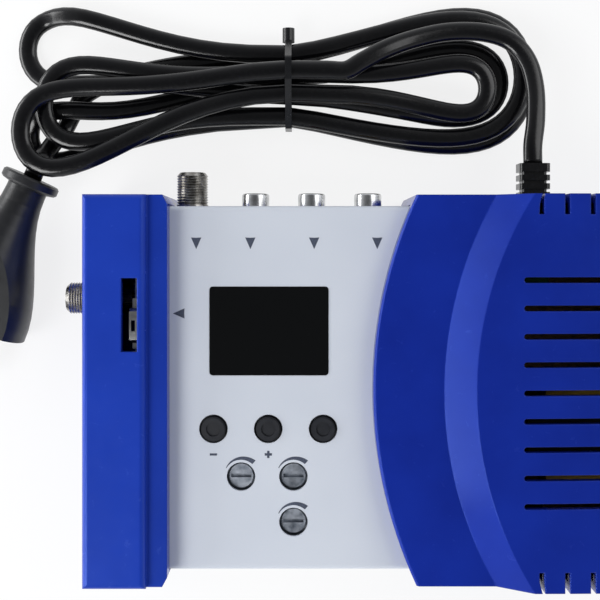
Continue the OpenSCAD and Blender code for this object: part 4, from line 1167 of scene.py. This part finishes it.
class MODULATOR_OT_stage(bpy.types.Operator):
    """Lays the pale floor and hangs the lamps."""

    bl_idname = "modulator.stage"
    bl_label = "Stage"

    def execute(self, context):
        stage = context.scene.modulator_stage
        tints = context.scene.modulator_finish
        put_down()
        bpy.ops.mesh.primitive_plane_add(size=FLOOR_SIDE, location=(0, 0, 0))
        floor = fix_place(context.object, "floor")
        # Matt paper, which the camera and glossy surfaces see mostly as plain white.
        material, tree, place = begin("paper backdrop, matt")
        fibre = add(tree, "TexNoise", {"Scale": per_mm(40), "Detail": 3.0}, place)
        cloud = add(tree, "MapRange", {"To Max": 0.2}, {"Value": fibre})
        tone = add(tree, "Mix", {
            "data_type": "RGBA", MIX_A: linear(tints.floor), MIX_B: linear("E6E8EB")}, {
            0: cloud})
        matt = add(tree, "BsdfDiffuse", links={"Color": tone.outputs[MIXED]})
        white = add(tree, "Emission", {"Color": linear("FFFFFF"), "Strength": 1.0})
        seen = add(tree, "LightPath")
        rays = add(tree, "Math", {"operation": "MAXIMUM"}, {
            0: seen.outputs["Is Camera Ray"], 1: seen.outputs["Is Glossy Ray"]})
        share = add(tree, "Math", {"operation": "MULTIPLY", 1: stage.glow}, {0: rays})
        both = add(tree, "MixShader", links={0: share, 1: matt, 2: white})
        add(tree, "OutputMaterial", links={"Surface": both})
        floor.data.materials.append(material)
        for name, (spot, size) in LAMPS.items():
            bpy.ops.object.light_add(type="AREA", location=spot)
            lamp = context.object
            lamp.name = name + " lamp"
            lamp.data.energy = getattr(stage, name)
            lamp.data.shape = "RECTANGLE"
            lamp.data.size, lamp.data.size_y = size
            heading = (LAMP_AIM - Vector(spot)).to_track_quat("-Z", "Y")
            lamp.rotation_euler = heading.to_euler()
        # Even light that falls off overhead, so that flat tops don't mirror it.
        world = bpy.data.worlds.new("even studio")
        world.use_nodes = True
        tree = world.node_tree
        tree.nodes.clear()
        place = add(tree, "TexCoord").outputs["Generated"]
        way = add(tree, "SeparateXYZ", links={"Vector": place})
        level = add(tree, "MapRange", {"To Min": stage.sky, "To Max": stage.zenith}, {
            "Value": way.outputs["Z"]})
        sky = add(tree, "Background", {"Color": linear("F4F6FA")}, {"Strength": level})
        add(tree, "OutputWorld", links={"Surface": sky})
        context.scene.world = world
        context.scene.view_settings.view_transform = "Standard"
        return {"FINISHED"}


class MODULATOR_PT_sidebar(bpy.types.Panel):
    """Lists the pieces in the sidebar."""

    bl_idname = "MODULATOR_PT_sidebar"
    bl_label = "Modulator"
    bl_space_type = "VIEW_3D"
    bl_region_type = "UI"
    bl_category = "Modulator"

    def draw(self, context):
        """Draws one button for each step."""
        for step in STEPS:
            self.layout.operator(step.bl_idname)


STEPS = (MODULATOR_OT_camera, MODULATOR_OT_finishes, MODULATOR_OT_cord, MODULATOR_OT_sweep,
         MODULATOR_OT_threads, MODULATOR_OT_phono, MODULATOR_OT_spring, MODULATOR_OT_print,
         MODULATOR_OT_stage)
GROUPS = {
    "modulator_cord": CordSettings,
    "modulator_sweep": SweepSettings,
    "modulator_threads": ThreadSettings,
    "modulator_phono": PhonoSettings,
    "modulator_spring": SpringSettings,
    "modulator_print": PrintSettings,
    "modulator_finish": FinishSettings,
    "modulator_stage": StageSettings,
}


def register():
    """Registers the settings, the steps and the panel."""
    for name, group in GROUPS.items():
        bpy.utils.register_class(group)
        setattr(bpy.types.Scene, name, PointerProperty(type=group))
    for step in STEPS + (MODULATOR_PT_sidebar,):
        bpy.utils.register_class(step)


def unregister():
    """Takes back what register did."""
    for step in (MODULATOR_PT_sidebar,) + STEPS[::-1]:
        bpy.utils.unregister_class(step)
    for name, group in GROUPS.items():
        delattr(bpy.types.Scene, name)
        bpy.utils.unregister_class(group)


def main():
    """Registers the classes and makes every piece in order."""
    register()
    bpy.ops.modulator.camera()
    bpy.ops.modulator.finishes()
    bpy.ops.modulator.cord()
    bpy.ops.modulator.sweep()
    bpy.ops.modulator.threads()
    bpy.ops.modulator.phono()
    bpy.ops.modulator.spring()
    bpy.ops.modulator.panel_print()
    bpy.ops.modulator.stage()


if __name__ == "__main__":
    main()
